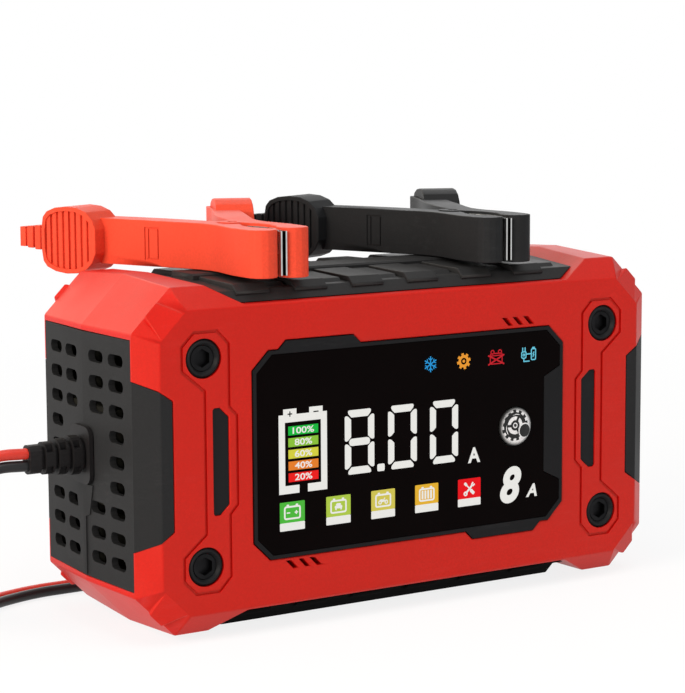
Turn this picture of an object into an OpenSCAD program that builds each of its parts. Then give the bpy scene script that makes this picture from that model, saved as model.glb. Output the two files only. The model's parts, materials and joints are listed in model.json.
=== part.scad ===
// Twelve volt car battery charger: a two-part moulded housing with armour panels, a display
// behind a bezel, the power electronics and fan inside, and two spring clamps on their leads.
// The frame is millimetres, +Z up, front towards -Y, origin at the middle of the base.

/* [Housing] */
// Width of the housing at the seam
body_w = 180; // [170:1:200]
// Depth of the housing, front face to rear face
body_d = 65; // [62:1:80]
// Height of the housing at the seam ridge
body_h = 100; // [98:1:115]
// How far the outline tapers in from the seam to the shoulder
draft = 1.5; // [0.8:0.1:2]
// Depth of the chamfer between shoulder and face
chamfer_d = 5; // [4:0.5:6]
// How far the face outline lies inside the shoulder outline
chamfer_w = 6.1; // [5:0.1:7]
// Size of the diagonal corner cut at the shoulder
corner_cut = 12; // [10:0.5:14]
// Wall of the half shells
shell_wall = 2.4; // [2:0.1:3]
// Height of the corner pads above their facets
corner_pad_rise = 0.9; // [0.5:0.1:1.2]

/* [Armour] */
// Half length of the armour pocket along the top edge
armour_half = 66; // [62:0.5:68]
// Depth of the pocket that the armour lies in
armour_pocket = 4.6; // [4.2:0.1:5]
// How far the armour's frame lies below the housing's surface
armour_drop = 2.2; // [1.8:0.1:2.6]
// Half width of the armour's lengthwise spine
spine_half = 6.5; // [5:0.5:8]
// Number of long plates along one side
plate_pairs = 6; // [5:1:7]
// How far the base panel stands below the housing's ridge
foot = 0.5; // [0.3:0.1:1]

/* [Face] */
// Width of the display bezel
bezel_w = 107.4; // [100:0.2:110]
// Height of the display bezel
bezel_h = 59; // [56:0.5:61]
// Width of the bezel's rim round the window
bezel_rim = 1; // [0.8:0.1:1.6]
// How far the bezel stands proud of the face
bezel_rise = 0.3; // [0.3:0.1:0.8]
// Distance between the screw columns
screw_span_x = 138; // [136:0.5:140]
// Distance between the screw rows
screw_span_z = 58; // [56:0.5:60]
// Radius of the collar round each screw
collar_r = 5.4; // [5:0.1:5.8]
// Radius of the mode button
button_r = 5.75; // [5:0.05:6.2]
// Travel of the mode button
button_travel = 0.6; // [0.4:0.1:0.8]

/* [Ends] */
// Thickness of the end panels
panel_t = 2; // [1.6:0.1:2.4]
// Height of the end panels
panel_h = 69.6; // [66:0.2:71]
// Width of one ventilation slot
vent_w = 8.2; // [6:0.1:8.6]
// Height of one ventilation slot
vent_h = 3.4; // [3:0.1:4]
// Vertical pitch of the slots
vent_pitch = 7.1; // [6.8:0.1:7.4]
// Radius of the hole for the mains cable in its gland
mains_bore_r = 3.1; // [2.6:0.1:3.6]

/* [Clamps] */
// Length of a clamp from its jaw tip to its handle end
clamp_l = 88; // [84:0.5:94]
// Thickness of a clamp
clamp_t = 14; // [12:0.5:16]
// Distance of the pivot from the jaw tip
pivot_v = 30; // [28:0.5:32]
// Radius of the pivot pin
pin_r = 1.5; // [1.2:0.1:1.8]
// Place of the red clamp's jaw tip along the housing
red_clamp_x = -43; // [-48:1:-38]
// Place of the black clamp's jaw tip along the housing
black_clamp_x = 34; // [30:1:38]
// Place of the jaw tips across the housing
clamp_tip_y = -33; // [-35:0.5:-31]

/* [Leads] */
// Diameter of a lead
lead_d = 3.2; // [3:0.1:3.6]
// Length of the strain relief outside its flange
relief_l = 16.2; // [14:0.2:20]

/* [Hidden] */
$fn = 40;
fit = 0.15;              // clearance between moulded pieces of one body
gap = 0.3;               // clearance round pieces that move
eps = 0.01;
half_w = body_w / 2;
half_d = body_d / 2;
shoulder_y = half_d - chamfer_d;
shoulder_half = half_w - draft;
seam_cut = corner_cut + draft;
mid_z = body_h / 2;
chamfer_angle = atan2(chamfer_w, chamfer_d);
shoulder_slip = tan(chamfer_angle / 2);
face_slip = tan((90 - chamfer_angle) / 2);
octagon_slip = 2 - sqrt(2);

// ---------------------------------------------------------------- housing form

// Octagon in x and z: half width, half height and corner cut, centred on the middle height
function octagon(hw, hz, cut) = [
    [-hw + cut, -hz], [hw - cut, -hz], [hw, -hz + cut], [hw, hz - cut],
    [hw - cut, hz], [-hw + cut, hz], [-hw, hz - cut], [-hw, -hz + cut]];

// The outline at the seam, shoulder and face, with every surface moved in by i
function seam_ring(i) =
    octagon(half_w - i, body_h / 2 - i, seam_cut - octagon_slip * i);
function shoulder_ring(i) =
    octagon(shoulder_half - i, body_h / 2 - draft - i, corner_cut - octagon_slip * i);
function face_ring(i) =
    let (in = chamfer_w + face_slip * i)
    octagon(shoulder_half - in, body_h / 2 - draft - in, corner_cut - octagon_slip * in);
function shoulder_at(i) = shoulder_y - shoulder_slip * i;

// Solid through a row of octagons, each given as [y, outline]
module loft(rings) {
    last = len(rings) - 1;
    polyhedron(
        points = [for (r = rings) for (p = r[1]) [p.x, r[0], p.y + mid_z + foot]],
        faces = concat(
            [[for (j = [7:-1:0]) j]],
            [for (k = [0:last - 1]) for (j = [0:7])
                [8 * k + j, 8 * k + (j + 1) % 8, 8 * k + 8 + (j + 1) % 8, 8 * k + 8 + j]],
            [[for (j = [0:7]) 8 * last + j]]));
}

// Front half of the housing's form, reaching past the seam by the given amount
module front_form(i = 0, past = 0) {
    loft([[-half_d + i, face_ring(i)], [-shoulder_at(i), shoulder_ring(i)],
          [past, seam_ring(i)]]);
}

module whole_form(i = 0) {
    front_form(i);
    mirror([0, 1, 0]) front_form(i);
}

// Moves a drawing in x and z from the middle of the front face, heights pointing outwards
module on_front() {
    translate([0, -half_d, mid_z + foot]) rotate([90, 0, 0]) children();
}

// Extrudes an outline in x and z through the whole depth
module through(points) {
    translate([0, body_d, mid_z + foot]) rotate([90, 0, 0])
        linear_extrude(2 * body_d) polygon(points);
}

// ---------------------------------------------------------------- armour pockets

rim_half = armour_half - 10.5;           // half length along the face edge
rim_z = mid_z - draft - chamfer_w + 0.7; // height of the rim above the middle
wall_z = mid_z - draft + 0.1;            // height where the end walls reach the shoulder
wall_slope = (armour_half - rim_half) / (wall_z - rim_z);

// Outline of the armour seen from the front, grown by g
function armour_outline(g) = [
    [-rim_half - g, rim_z - g], [rim_half + g, rim_z - g],
    [armour_half + g, wall_z], [armour_half + g + 6 * wall_slope, wall_z + 6],
    [-armour_half - g - 6 * wall_slope, wall_z + 6], [-armour_half - g, wall_z]];

module armour_pocket_cut() {
    difference() {
        through(armour_outline(fit));
        whole_form(armour_pocket);
    }
}

module both_pockets() {
    armour_pocket_cut();
    translate([0, 0, 2 * (mid_z + foot)]) mirror([0, 0, 1]) armour_pocket_cut();
}

// ---------------------------------------------------------------- end panels

panel_half_y = shoulder_y - 0.6;
panel_top = panel_h / 2;
wrap_in_x = half_w - 11.3;
wrap_edge_x = shoulder_half - chamfer_w;

// The part of an end that its panel covers, grown by g
module panel_region(g) {
    translate([shoulder_half - 4, -panel_half_y - g, mid_z + foot - panel_top - g])
        cube([20, 2 * (panel_half_y + g), 2 * (panel_top + g)]);
    through([[wrap_in_x - g, -18 - g], [wrap_edge_x, -20.7 - g], [shoulder_half, -23.5 - g],
        [half_w + 8, -23.5 - g], [half_w + 8, 23.5 + g], [shoulder_half, 23.5 + g],
        [wrap_edge_x, 20.7 + g], [wrap_in_x - g, 18 + g]]);
}

vent_columns = [-18.8, -7.8, 7.8, 18.8];
vent_rows = [-4:4];
function has_vent(column, row) = abs(column) > 10 || abs(row) > 1;

// Slots of one end, each a rounded rectangle through the wall
module vents(deep) {
    for (column = vent_columns, row = vent_rows)
        if (has_vent(column, row))
            translate([half_w - deep, column, mid_z + foot + row * vent_pitch])
                rotate([90, 0, 90]) linear_extrude(deep + 5) vent_outline();
}

// Slot outline with round corners
module vent_outline() {
    r = vent_h * 0.44;
    a = vent_w / 2 - r;
    b = vent_h / 2 - r;
    polygon([for (q = [[a, b, 0], [-a, b, 90], [-a, -b, 180], [a, -b, 270]])
        for (t = [0, 45, 90]) [q[0] + r * cos(q[2] + t), q[1] + r * sin(q[2] + t)]]);
}

module end_panel() {
    color("#3c3c3e") difference() {
        intersection() {
            difference() {
                whole_form();
                whole_form(panel_t);
            }
            panel_region(0);
        }
        vents(6);
        translate([half_w - 8, 0, mid_z + foot]) rotate([0, 90, 0])
            cylinder(r = gland_neck_r + fit, h = 16);
    }
    // raised tongue and rib below the gland, along the seam
    color("#3c3c3e") intersection() {
        translate([half_w - panel_t, 0, mid_z + foot]) rotate([90, 0, 90])
            linear_extrude(panel_t + 0.4)
                polygon([[-5.5, -8.4], [5.5, -8.4], [3.4, -16.9], [1.2, -17.6],
                    [1.2, 0.5 - panel_top], [-1.2, 0.5 - panel_top], [-1.2, -17.6],
                    [-3.4, -16.9]]);
        whole_form(-0.4);
    }
}

module left_end_panel() mirror([1, 0, 0]) end_panel();
module right_end_panel() end_panel();

// ---------------------------------------------------------------- half shells

wall = shell_wall + panel_t;             // full wall, panel skin included
column_x = screw_span_x / 2;
row_z = screw_span_z / 2;
collar_depth = 3.2;
screw_r = 1.9;
sleeve_r = 5;
socket_r = 2.6;          // hexagon socket of a screw, over its corners

// Screw places in x and z from the middle of the face
screw_places = [for (a = [-1, 1], b = [-1, 1]) [a * column_x, b * row_z]];

face_diagonal = (corner_cut - octagon_slip * chamfer_w) * sqrt(2);

// Corners of a pad: half width, y, and height above the shoulder's diagonal
pad_corners = [[face_diagonal / 2 - 0.9, 0.05 - half_d, -chamfer_w],
    [2.5, -shoulder_y - 1.2, corner_pad_rise], [3.2, 0.3 - shoulder_y, -0.3],
    [3.2, 1.5 - half_d, -chamfer_w - 1.5]];

// Wedge on a diagonal facet, flush with the face and proud of the shoulder
module corner_pad() {
    hull() polyhedron(
        points = [for (s = [-1, 1], p = pad_corners) [s * p.x, p.y, p.z]],
        faces = [[0, 1, 2, 3], [7, 6, 5, 4], [0, 4, 5, 1], [1, 5, 6, 2], [2, 6, 7, 3],
            [3, 7, 4, 0]]);
}

// Raised pads on the diagonal facets of one half
module corner_pads() {
    for (a = [-1, 1], b = [0, 1])
        translate([0, 0, mid_z + foot]) mirror([0, 0, b])
            translate([a * (shoulder_half - corner_cut / 2), 0, mid_z - draft - corner_cut / 2])
                rotate([0, a * 45, 0]) corner_pad();
}

// Hollow of one half, below the armour pockets
module hollow() {
    intersection() {
        front_form(wall, eps);
        translate([-half_w, -half_d, foot + armour_pocket + shell_wall])
            cube([body_w, body_d, body_h - 2 * (armour_pocket + shell_wall)]);
    }
}

// Openings of the side walls behind the end panels' slots
module wall_windows() {
    for (a = [-1, 1]) {
        for (b = [-1, 1])
            translate([a * (half_w - wall) - 4, -23.2, mid_z + foot + b * 23 - 9])
                cube([8, 19.6, 18]);
        translate([a * (half_w - wall) - 4, -23.2, mid_z + foot - 16])
            cube([8, 8.6, 32]);
    }
}

// Holes for the lead relief and the mains gland, half in each shell
module gland_holes() {
    for (a = [-1, 1])
        translate([a * (half_w - wall - 3), 0, mid_z + foot]) rotate([0, a * 90, 0])
            cylinder(r = gland_neck_r + fit, h = 12);
}

// What both shells have: skin, hollow, pockets and end openings
module shell_blank() {
    difference() {
        union() {
            front_form();
            corner_pads();
        }
        hollow();
        both_pockets();
        for (a = [0, 1]) mirror([a, 0, 0]) difference() {
            panel_region(fit);
            whole_form(panel_t + fit);
        }
        wall_windows();
        gland_holes();
    }
}

// Outline of the channel round a screw pair and its slot insert
channel_points = [[64.8, 36.3], [61.2, 32.6], [61.2, 15], [58.8, 12.5], [58.8, -12.5],
    [61.2, -15], [61.2, -32.6], [64.8, -36.3], [72, -36.3], [75.8, -32.5], [75.8, -25.8],
    [68.8, -19.9], [68.8, 19.9], [75.8, 25.8], [75.8, 32.5], [72, 36.3]];

slot_points = [[61.4, -12.2], [64.2, -14.9], [65.9, -14.9], [66.3, -14.4], [66.3, 14.4],
    [65.9, 14.9], [64.2, 14.9], [61.4, 12.2]];
slot_depth = 1.6;

module slot_outline(g) offset(delta = g) polygon(slot_points);

module channel_groove() {
    translate([0, 0, -0.6]) linear_extrude(2) difference() {
        offset(delta = 0.45) polygon(channel_points);
        offset(delta = -0.45) polygon(channel_points);
    }
}

// Three slanted slots beside the bezel
module slanted_slots() {
    for (k = [0:2])
        translate([-42.4 + 3.9 * k, -30.6, -wall - 1])
            linear_extrude(wall + 3)
                polygon([[-0.8, 0], [0.7, 0], [3, -2.4], [1.5, -2.4]]);
}

bezel_points = [[-48.5, -29.5], [18.3, -29.5], [20.8, -32], [42.9, -32], [45.4, -29.5],
    [48.5, -29.5], [53.7, -24.3], [53.7, 24.3], [48.5, 29.5], [-18.3, 29.5], [-20.8, 32],
    [-42.9, 32], [-45.4, 29.5], [-48.5, 29.5], [-53.7, 24.3], [-53.7, -24.3]];
ledge_depth = 1.6;       // depth of the bezel's seat below the face
ledge_w = 3.4;           // width of the ledge that the window rests on

// Bezel outline at its driving size, grown by g
module bezel_outline(g) {
    offset(delta = g) polygon([for (p = bezel_points)
        [p.x * bezel_w / 107.4, p.y * bezel_h / 59]]);
}

module window_outline(g) {
    x = bezel_w / 2 - bezel_rim - g;
    z = bezel_h / 2 - bezel_rim - g;
    cut = 5 - 0.4 * g;
    polygon([[-x + cut, -z], [x - cut, -z], [x, -z + cut], [x, -17.3 - g], [x - 5.9, -14.4 - g],
        [x - 5.9, 14.4 + g], [x, 17.3 + g], [x, z - cut], [x - cut, z], [-x + cut, z],
        [-x, z - cut], [-x, -z + cut]]);
}

module front_shell() {
    color("#c62828") difference() {
        union() {
            shell_blank();
            intersection() {
                front_form(1);
                on_front() for (p = screw_places)
                    translate([p.x, p.y, -half_d]) cylinder(r = sleeve_r, h = half_d - 1);
            }
            fan_guide(-1);
        }
        on_front() {
            for (p = screw_places) translate([p.x, p.y, 0]) {
                translate([0, 0, -collar_depth]) cylinder(r = collar_r + fit, h = 10);
                translate([0, 0, -half_d - 1]) cylinder(r = screw_r + fit, h = half_d);
            }
            for (a = [0, 1]) mirror([a, 0, 0]) {
                channel_groove();
                translate([0, 0, -slot_depth]) linear_extrude(4) slot_outline(fit);
            }
            slanted_slots();
            rotate(180) slanted_slots();
            translate([0, 0, -ledge_depth]) linear_extrude(6) bezel_outline(fit);
            translate([0, 0, -wall - 1]) linear_extrude(wall + 2) window_outline(ledge_w);
        }
    }
}

// Pillars of the rear shell that take the housing screws
pillar_r = 5;
board_left = -62;
board_right = 54;
post_places = [for (x = [board_left + 6, board_right - 6], b = [-1, 1]) [x, 27 * b]];
rear_inside = half_d - wall;
board_post = 5.5;        // height of the posts that carry the main board
board_t = 1.6;
board_y = rear_inside - board_post - board_t;   // front surface of the main board

module rear_shell() {
    color("#b52222") difference() {
        union() {
            mirror([0, 1, 0]) shell_blank();
            for (p = screw_places)
                translate([p.x, 0, mid_z + foot + p.y]) rotate([-90, 0, 0])
                    cylinder(r = pillar_r, h = rear_inside + 1);
            for (p = post_places)
                translate([p.x, board_y + board_t, mid_z + foot + p.y]) rotate([-90, 0, 0])
                    cylinder(r = 3.4, h = board_post + 1);
            fan_guide(1);
        }
        for (p = screw_places)
            translate([p.x, -1, mid_z + foot + p.y]) rotate([-90, 0, 0])
                cylinder(r = screw_r + 0.05, h = 24);
        for (p = post_places)
            translate([p.x, board_y, mid_z + foot + p.y]) rotate([-90, 0, 0])
                cylinder(r = 1.25, h = 8);
    }
}

// ---------------------------------------------------------------- armour panels

plate_pitch = 2 * (armour_half - 9) / plate_pairs;
spine_top = mid_z - 0.7;  // the spine's and plates' tops, from the middle height
plate_top = mid_z - 1.5;

// Section across the armour of one plate: distance from the middle, height, fall to its edge
function plate_section(reach, high, fall) = [
    [spine_half - 1, mid_z - armour_pocket], [spine_half - 1, high],
    [reach - 2.6, high - fall], [reach, high - 1.9 - fall], [reach, high - 2.7 - fall],
    [reach - 1.2, high - 3.7 - fall]];

// Start of a plate along the armour; the plates of the two sides are offset
function plate_x(k, side) = -armour_half + 9 + plate_pitch * k + (side == 0 ? 1 : 3);

// One armour panel: frame in the pocket at the given drop, plates of the given reach and a
// spine standing on it to the given heights
module armour(spine_high, plate_high, fall, reach, drop) {
    difference() {
        intersection() {
            through(armour_outline(0));
            whole_form(drop);
        }
        whole_form(armour_pocket - fit);
    }
    intersection() {
        union() {
            for (side = [0, 1]) mirror([0, side, 0]) for (k = [0:plate_pairs - 1]) {
                x = plate_x(k, side);
                armour_plate(x, plate_pitch * 0.56, reach, plate_high, fall);
                armour_plate(x + plate_pitch * 0.56 - 0.4, plate_pitch * 0.44 - 0.6,
                    reach - 3, plate_high - 0.5, fall);
            }
            translate([0, 0, mid_z + foot]) rotate([90, 0, 90])
                translate([0, 0, -armour_half + 8]) linear_extrude(2 * armour_half - 16)
                    polygon([[-spine_half, mid_z - armour_pocket], [spine_half, mid_z - armour_pocket],
                        [spine_half, spine_high - 0.6], [spine_half - 0.6, spine_high],
                        [-spine_half + 0.6, spine_high], [-spine_half, spine_high - 0.6]]);
        }
        through(armour_outline(-fit));
        difference() {
            translate([-body_w, -body_d, 0]) cube([2 * body_w, 2 * body_d, 2 * body_h]);
            whole_form(armour_pocket - fit);
        }
    }
}

module armour_plate(x, wide, reach, high, fall) {
    translate([x, 0, mid_z + foot]) rotate([90, 0, 90]) mirror([1, 0, 0])
        linear_extrude(wide) polygon(plate_section(reach, high, fall));
}

module top_armour() {
    color("#2a2a2b") armour(spine_top, plate_top, 0.5, shoulder_y + 0.4, armour_drop);
}

base_drop = armour_drop + 1;  // the base panel's frame lies deeper
base_reach = 19;              // half width of the plates that it stands on

// Low plate ends along the rims of the base panel
module rim_plates() {
    difference() {
        intersection() {
            for (side = [0, 1], k = [0:plate_pairs - 1]) mirror([0, side, 0])
                translate([plate_x(k, side), -body_d, body_h / 2])
                    cube([plate_pitch * 0.56, body_d - base_reach - 1, body_h]);
            through(armour_outline(-1.3));
            whole_form(base_drop - 0.6);
        }
        whole_form(armour_pocket - fit);
    }
}

module base_armour() {
    color("#2a2a2b") translate([0, 0, 2 * (mid_z + foot)]) mirror([0, 0, 1]) {
        armour(mid_z + foot, mid_z + foot, 0, base_reach, base_drop);
        rim_plates();
    }
}

// ---------------------------------------------------------------- face trim and screws

module slot_inserts() {
    color("#222223") on_front() for (a = [0, 1]) mirror([a, 0, 0])
        translate([0, 0, -slot_depth]) linear_extrude(slot_depth - 0.4) slot_outline(0);
}

module screw_collars() {
    color("#262627") on_front() for (p = screw_places)
        translate([p.x, p.y, -collar_depth]) rotate_extrude()
            polygon([[3.7, 0], [collar_r, 0], [collar_r, collar_depth - 0.7],
                [collar_r - 0.7, collar_depth], [4.3, collar_depth], [3.7, collar_depth - 0.9]]);
}

module housing_screws() {
    color("#303032") on_front() for (p = screw_places) translate([p.x, p.y, 0]) {
        difference() {
            translate([0, 0, -collar_depth]) cylinder(r = 3.5, h = collar_depth - 0.9);
            translate([0, 0, -collar_depth + 0.6]) rotate(30) cylinder(r = socket_r, h = 4, $fn = 6);
        }
        translate([0, 0, -half_d - 20]) cylinder(r = screw_r, h = half_d + 20 - collar_depth + eps);
    }
}

module display_bezel() {
    color("#222325") on_front() difference() {
        translate([0, 0, -ledge_depth]) linear_extrude(ledge_depth + bezel_rise) bezel_outline(0);
        translate([0, 0, -ledge_depth - 1]) linear_extrude(8) window_outline(0);
    }
}

button_x = 36;
button_z = 0.3;

module display_window() {
    color("#0b0908") on_front() difference() {
        translate([0, 0, -ledge_depth]) linear_extrude(ledge_depth + bezel_rise - 0.2)
            window_outline(fit);
        translate([button_x, button_z, -5]) cylinder(r = button_r + gap, h = 10);
    }
}

segments_depth = wall - ledge_depth;
flange_r = button_r + 0.9;

// Light-guide block behind the window, with a well for the button's flange
module display_segments() {
    color("#d8d8d4") on_front() difference() {
        translate([0, 0, -ledge_depth - segments_depth]) linear_extrude(segments_depth)
            window_outline(ledge_w + fit);
        translate([button_x, button_z, -10]) cylinder(r = flange_r + gap, h = 12);
    }
}

display_board_y = half_d - ledge_depth - segments_depth;
display_board_w = bezel_w - 5.4;
display_board_h = bezel_h - 4;

module display_board() {
    color("#1f5a34")
        translate([-display_board_w / 2, -display_board_y, mid_z + foot - display_board_h / 2])
            cube([display_board_w, board_t, display_board_h]);
}

module mode_switch() {
    color("#777779") on_front() translate([button_x, button_z, display_board_y - half_d]) {
        h = segments_depth + ledge_depth - button_flange_deep - button_travel - 0.1;
        translate([-3, -3, 0]) cube([6, 6, h * 0.6]);
        cylinder(r = 1.7, h = h);
    }
}

button_flange_deep = 2.6; // distance of the button's rear face behind the housing face

module mode_button() {
    color("#d9dadb") on_front() translate([button_x, button_z, 0]) {
        rotate_extrude() polygon([[0, -button_flange_deep], [flange_r, -button_flange_deep],
            [flange_r, -ledge_depth - 0.3], [button_r, -ledge_depth - 0.3], [button_r, 0.5],
            [button_r - 0.5, 0.85], [button_r - 2, 1.15], [0, 1.3]]);
    }
}

// ---------------------------------------------------------------- cable glands

gland_neck_r = 4.6;
gland_flange_t = 1.2;

// Rounded rectangle centred on the origin
module rounded(w, h, r) {
    polygon([for (q = [[1, 1, 0], [-1, 1, 90], [-1, -1, 180], [1, -1, 270]])
        for (t = [0:22.5:90])
            [q[0] * (w / 2 - r) + r * cos(q[2] + t), q[1] * (h / 2 - r) + r * sin(q[2] + t)]]);
}

// Flange, neck and inner collar of a gland on the right end
module gland_body() {
    translate([half_w, 0, 0]) rotate([90, 0, 90]) linear_extrude(gland_flange_t)
        rounded(12.4, 16.4, 3);
    translate([half_w - wall - 2.4, 0, 0]) rotate([0, 90, 0])
        cylinder(r = gland_neck_r, h = wall + 2.4 + eps);
    translate([half_w - wall - 2.6, 0, 0]) rotate([0, 90, 0]) cylinder(r = 6.6, h = 2);
}

relief_rings = 3;
relief_tip = half_w + gland_flange_t + relief_l;
relief_step = (relief_l - 3.4 - 1.1) / relief_rings;
function relief_w(d) = 9.4 - 4.8 * d / relief_l;
function relief_h(d) = 11.4 - 4 * d / relief_l;

// Slice of the ribbed boot at distance d from the flange
module relief_slice(d, long, less) {
    translate([half_w + gland_flange_t + d, 0, 0]) rotate([90, 0, 90])
        linear_extrude(long)
            rounded(relief_w(d) - less, relief_h(d) - less, (relief_w(d) - less) * 0.45);
}

module strain_relief() {
    color("#2b2b2c") translate([0, 0, mid_z + foot]) mirror([1, 0, 0]) {
        gland_body();
        difference() {
            union() {
                for (k = [0:relief_rings - 1]) {
                    relief_slice(k * relief_step, 1.2 + eps, 2.6);
                    relief_slice(1.1 + k * relief_step, relief_step - 1.1, 0);
                }
                relief_slice(relief_rings * relief_step, 1.2, 2.2);
                relief_slice(1.1 + relief_rings * relief_step, 3.4, 0);
            }
            // windows in the rings, above and below their bridges
            for (k = [0:relief_rings - 1], a = [-1, 1], b = [-1, 1])
                translate([half_w + gland_flange_t + 1.1 + k * relief_step + 0.6,
                    a * (relief_w(k * relief_step) / 2 - 0.5) - 1.2,
                    b * relief_h(k * relief_step) * 0.32 - 1])
                    cube([relief_step - 1.9, 2.4, 2]);
        }
    }
}

module mains_gland() {
    color("#2b2b2c") translate([0, 0, mid_z + foot]) difference() {
        union() {
            gland_body();
            translate([half_w + gland_flange_t - eps, 0, 0]) rotate([0, 90, 0])
                cylinder(r1 = 5.4, r2 = 4.6, h = 4);
        }
        translate([half_w - wall - 4, 0, 0]) rotate([0, 90, 0])
            cylinder(r = mains_bore_r, h = wall + 14);
    }
}

// ---------------------------------------------------------------- electronics

module on_board(x, z) translate([x, board_y, mid_z + foot + z]) children();

module main_board() {
    color("#1f5a34") difference() {
        translate([board_left, board_y, mid_z + foot - 36])
            cube([board_right - board_left, board_t, 72]);
        for (p = post_places)
            translate([p.x, board_y - 1, mid_z + foot + p.y]) rotate([-90, 0, 0])
                cylinder(r = 1.6, h = board_t + 2);
    }
}

module board_screws() {
    color("silver") for (p = post_places)
        translate([p.x, board_y, mid_z + foot + p.y]) rotate([-90, 0, 0]) {
            translate([0, 0, -1.8]) cylinder(r = 2.8, h = 1.8);
            cylinder(r = 1.2, h = 7);
        }
}

core_w = 34;
core_h = 30;
core_d = 26;

// Ferrite core: an E pair with its windows beside the middle leg
module transformer_core() {
    color("#3d3d3f") on_board(6, -4) rotate([90, 0, 0]) difference() {
        translate([-core_w / 2, -core_h / 2, 0]) cube([core_w, core_h, core_d]);
        for (a = [-1, 1])
            translate([a * core_w * 0.28 - 3.6, -core_h / 2 + 5, -1])
                cube([7.2, core_h - 10, core_d + 2]);
    }
}

module transformer_winding() {
    color("#d9a441") on_board(6, -4) rotate([90, 0, 0]) difference() {
        union() {
            for (a = [-1, 1])
                translate([a * core_w * 0.28 - 3.3, -core_h / 2 + 5.3, 0])
                    cube([6.6, core_h - 10.6, core_d]);
            translate([-core_w * 0.28 - 3.3, -core_h / 2 + 5.3, core_d + fit])
                cube([core_w * 0.56 + 6.6, core_h - 10.6, 3]);
        }
        translate([-3, -core_h / 2 + 8, core_d + 1]) cube([6, core_h - 16, 5]);
    }
}

module can(r, h) rotate([90, 0, 0]) rotate_extrude()
    polygon([[0, 0], [r, 0], [r, h * 0.08], [r - 0.5, h * 0.11], [r, h * 0.14], [r, h - 0.6],
        [r - 0.6, h], [0, h]]);

input_can = [9, 30];     // radius and height of the input capacitor
output_can = [5, 22];    // radius and height of an output capacitor
output_pitch = 12;

module input_capacitor() {
    color("#23262b") on_board(-40, 20) can(input_can[0], input_can[1]);
}

module output_capacitors() {
    color("#2c3f66") for (k = [0:2])
        on_board(36, -26 + output_pitch * k) can(output_can[0], output_can[1]);
}

module choke() {
    color("#b87333") on_board(-38, -18) rotate([90, 0, 0]) translate([0, 0, 5])
        rotate_extrude() translate([8, 0]) circle(r = 5, $fn = 24);
}

sink_fins = 7;
sink_w = 40;
sink_h = 24;             // height above the board
sink_deep = 16;          // back plate and fins together
sink_back = 2.4;
sink_fin_t = 1.6;
sink_step = (sink_w - sink_fin_t) / (sink_fins - 1);

module heat_sink() {
    color("#b9bcc0") on_board(4, 24) rotate([90, 0, 0]) {
        translate([-sink_w / 2, -sink_deep / 2, 0]) cube([sink_w, sink_back, sink_h]);
        for (k = [0:sink_fins - 1])
            translate([-sink_w / 2 + k * sink_step, sink_back - 0.4 - sink_deep / 2, 0])
                cube([sink_fin_t, sink_deep - sink_back + 0.4, sink_h]);
    }
}

module power_transistors() {
    color("#1c1c1e") for (k = [0:2]) on_board(-8 + 12 * k, 24) rotate([90, 0, 0])
        translate([-5, -sink_deep / 2 - 4.6, 0]) cube([10, 4.5, 16]);
}

module fuse_holder() {
    color("#e7e3d8") on_board(-14, -30) rotate([90, 0, 0]) {
        translate([-12, -3.5, 0]) cube([3, 7, 8]);
        translate([9, -3.5, 0]) cube([3, 7, 8]);
        translate([-10, 0, 5]) rotate([0, 90, 0]) cylinder(r = 2.6, h = 20);
    }
}

module relay() color("#2a63a8") on_board(34.5, 21) rotate([90, 0, 0])
    translate([-9.5, -7.5, 0]) cube([19, 15, 16]);

// ---------------------------------------------------------------- fan

fan_size = 40;
fan_t = 10;
fan_x = 59.5;
fan_bore = 18.6;
fan_hub = 8;
fan_blades = 7;
fan_shaft_r = 1;
guide_half = 14;

// Slotted guide for the fan on the front (-1) or rear (1) wall
module fan_guide(side) {
    deep = rear_inside + 0.5 - fan_size / 2 - fit;
    translate([0, 0, mid_z + foot - guide_half]) scale([1, side, 1]) {
        translate([fan_x - 2, fan_size / 2 + fit, 0]) cube([fan_t + 4, deep, 2 * guide_half]);
        for (x = [fan_x - 2, fan_x + fan_t + fit])
            translate([x, fan_size / 2 - 3, 0]) cube([2 - fit, 4, 2 * guide_half]);
    }
}

module in_fan() translate([fan_x, 0, mid_z + foot]) rotate([0, 90, 0]) children();

module fan_frame() {
    color("#1d1d1f") in_fan() {
        difference() {
            translate([-fan_size / 2, -fan_size / 2, 0]) cube([fan_size, fan_size, fan_t]);
            translate([0, 0, -1]) cylinder(r = fan_bore, h = fan_t + 2);
        }
        difference() {
            union() {
                cylinder(r = fan_hub - 0.6, h = 1.4);
                cylinder(r = 2.6, h = 5);
                for (a = [0, 120, 240]) rotate(a) translate([0, -1.2, 0])
                    cube([fan_bore + 0.4, 2.4, 1.4]);
            }
            translate([0, 0, 0.5]) cylinder(r = fan_shaft_r + 0.05, h = 5);
        }
    }
}

module fan_rotor() {
    color("#2b2b2e") in_fan() {
        rotate_extrude() polygon([[0, 1], [fan_shaft_r, 1], [fan_shaft_r, 8.2],
            [fan_hub - 1.2, 8.2], [fan_hub - 1.2, 2], [fan_hub, 2], [fan_hub, 9],
            [fan_hub - 0.5, 9.5], [0, 9.5]]);
        for (k = [0:fan_blades - 1]) rotate(k * 360 / fan_blades)
            translate([fan_hub - 1.1, 0, 5.8]) rotate([35, 0, 0])
                translate([0, -3.6, -0.6]) cube([fan_bore - fan_hub + 0.2, 7.2, 1.2]);
    }
}

// ---------------------------------------------------------------- clamps

clamp_z = 2 * mid_z + foot - 0.7;        // top of the armour's spine
jaw_s = pivot_v / 30;                    // stretch of the jaw lengths
handle_s = (clamp_l - pivot_v) / 58;     // stretch of the handle lengths
lug_r = 4.2;

// Places along a clamp: jaw lengths count from the tip, handle lengths from the pivot
function jaw_at(u, v) = [u, v * jaw_s];
function handle_at(u, v) = [u, pivot_v + (v - 30) * handle_s];

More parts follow.
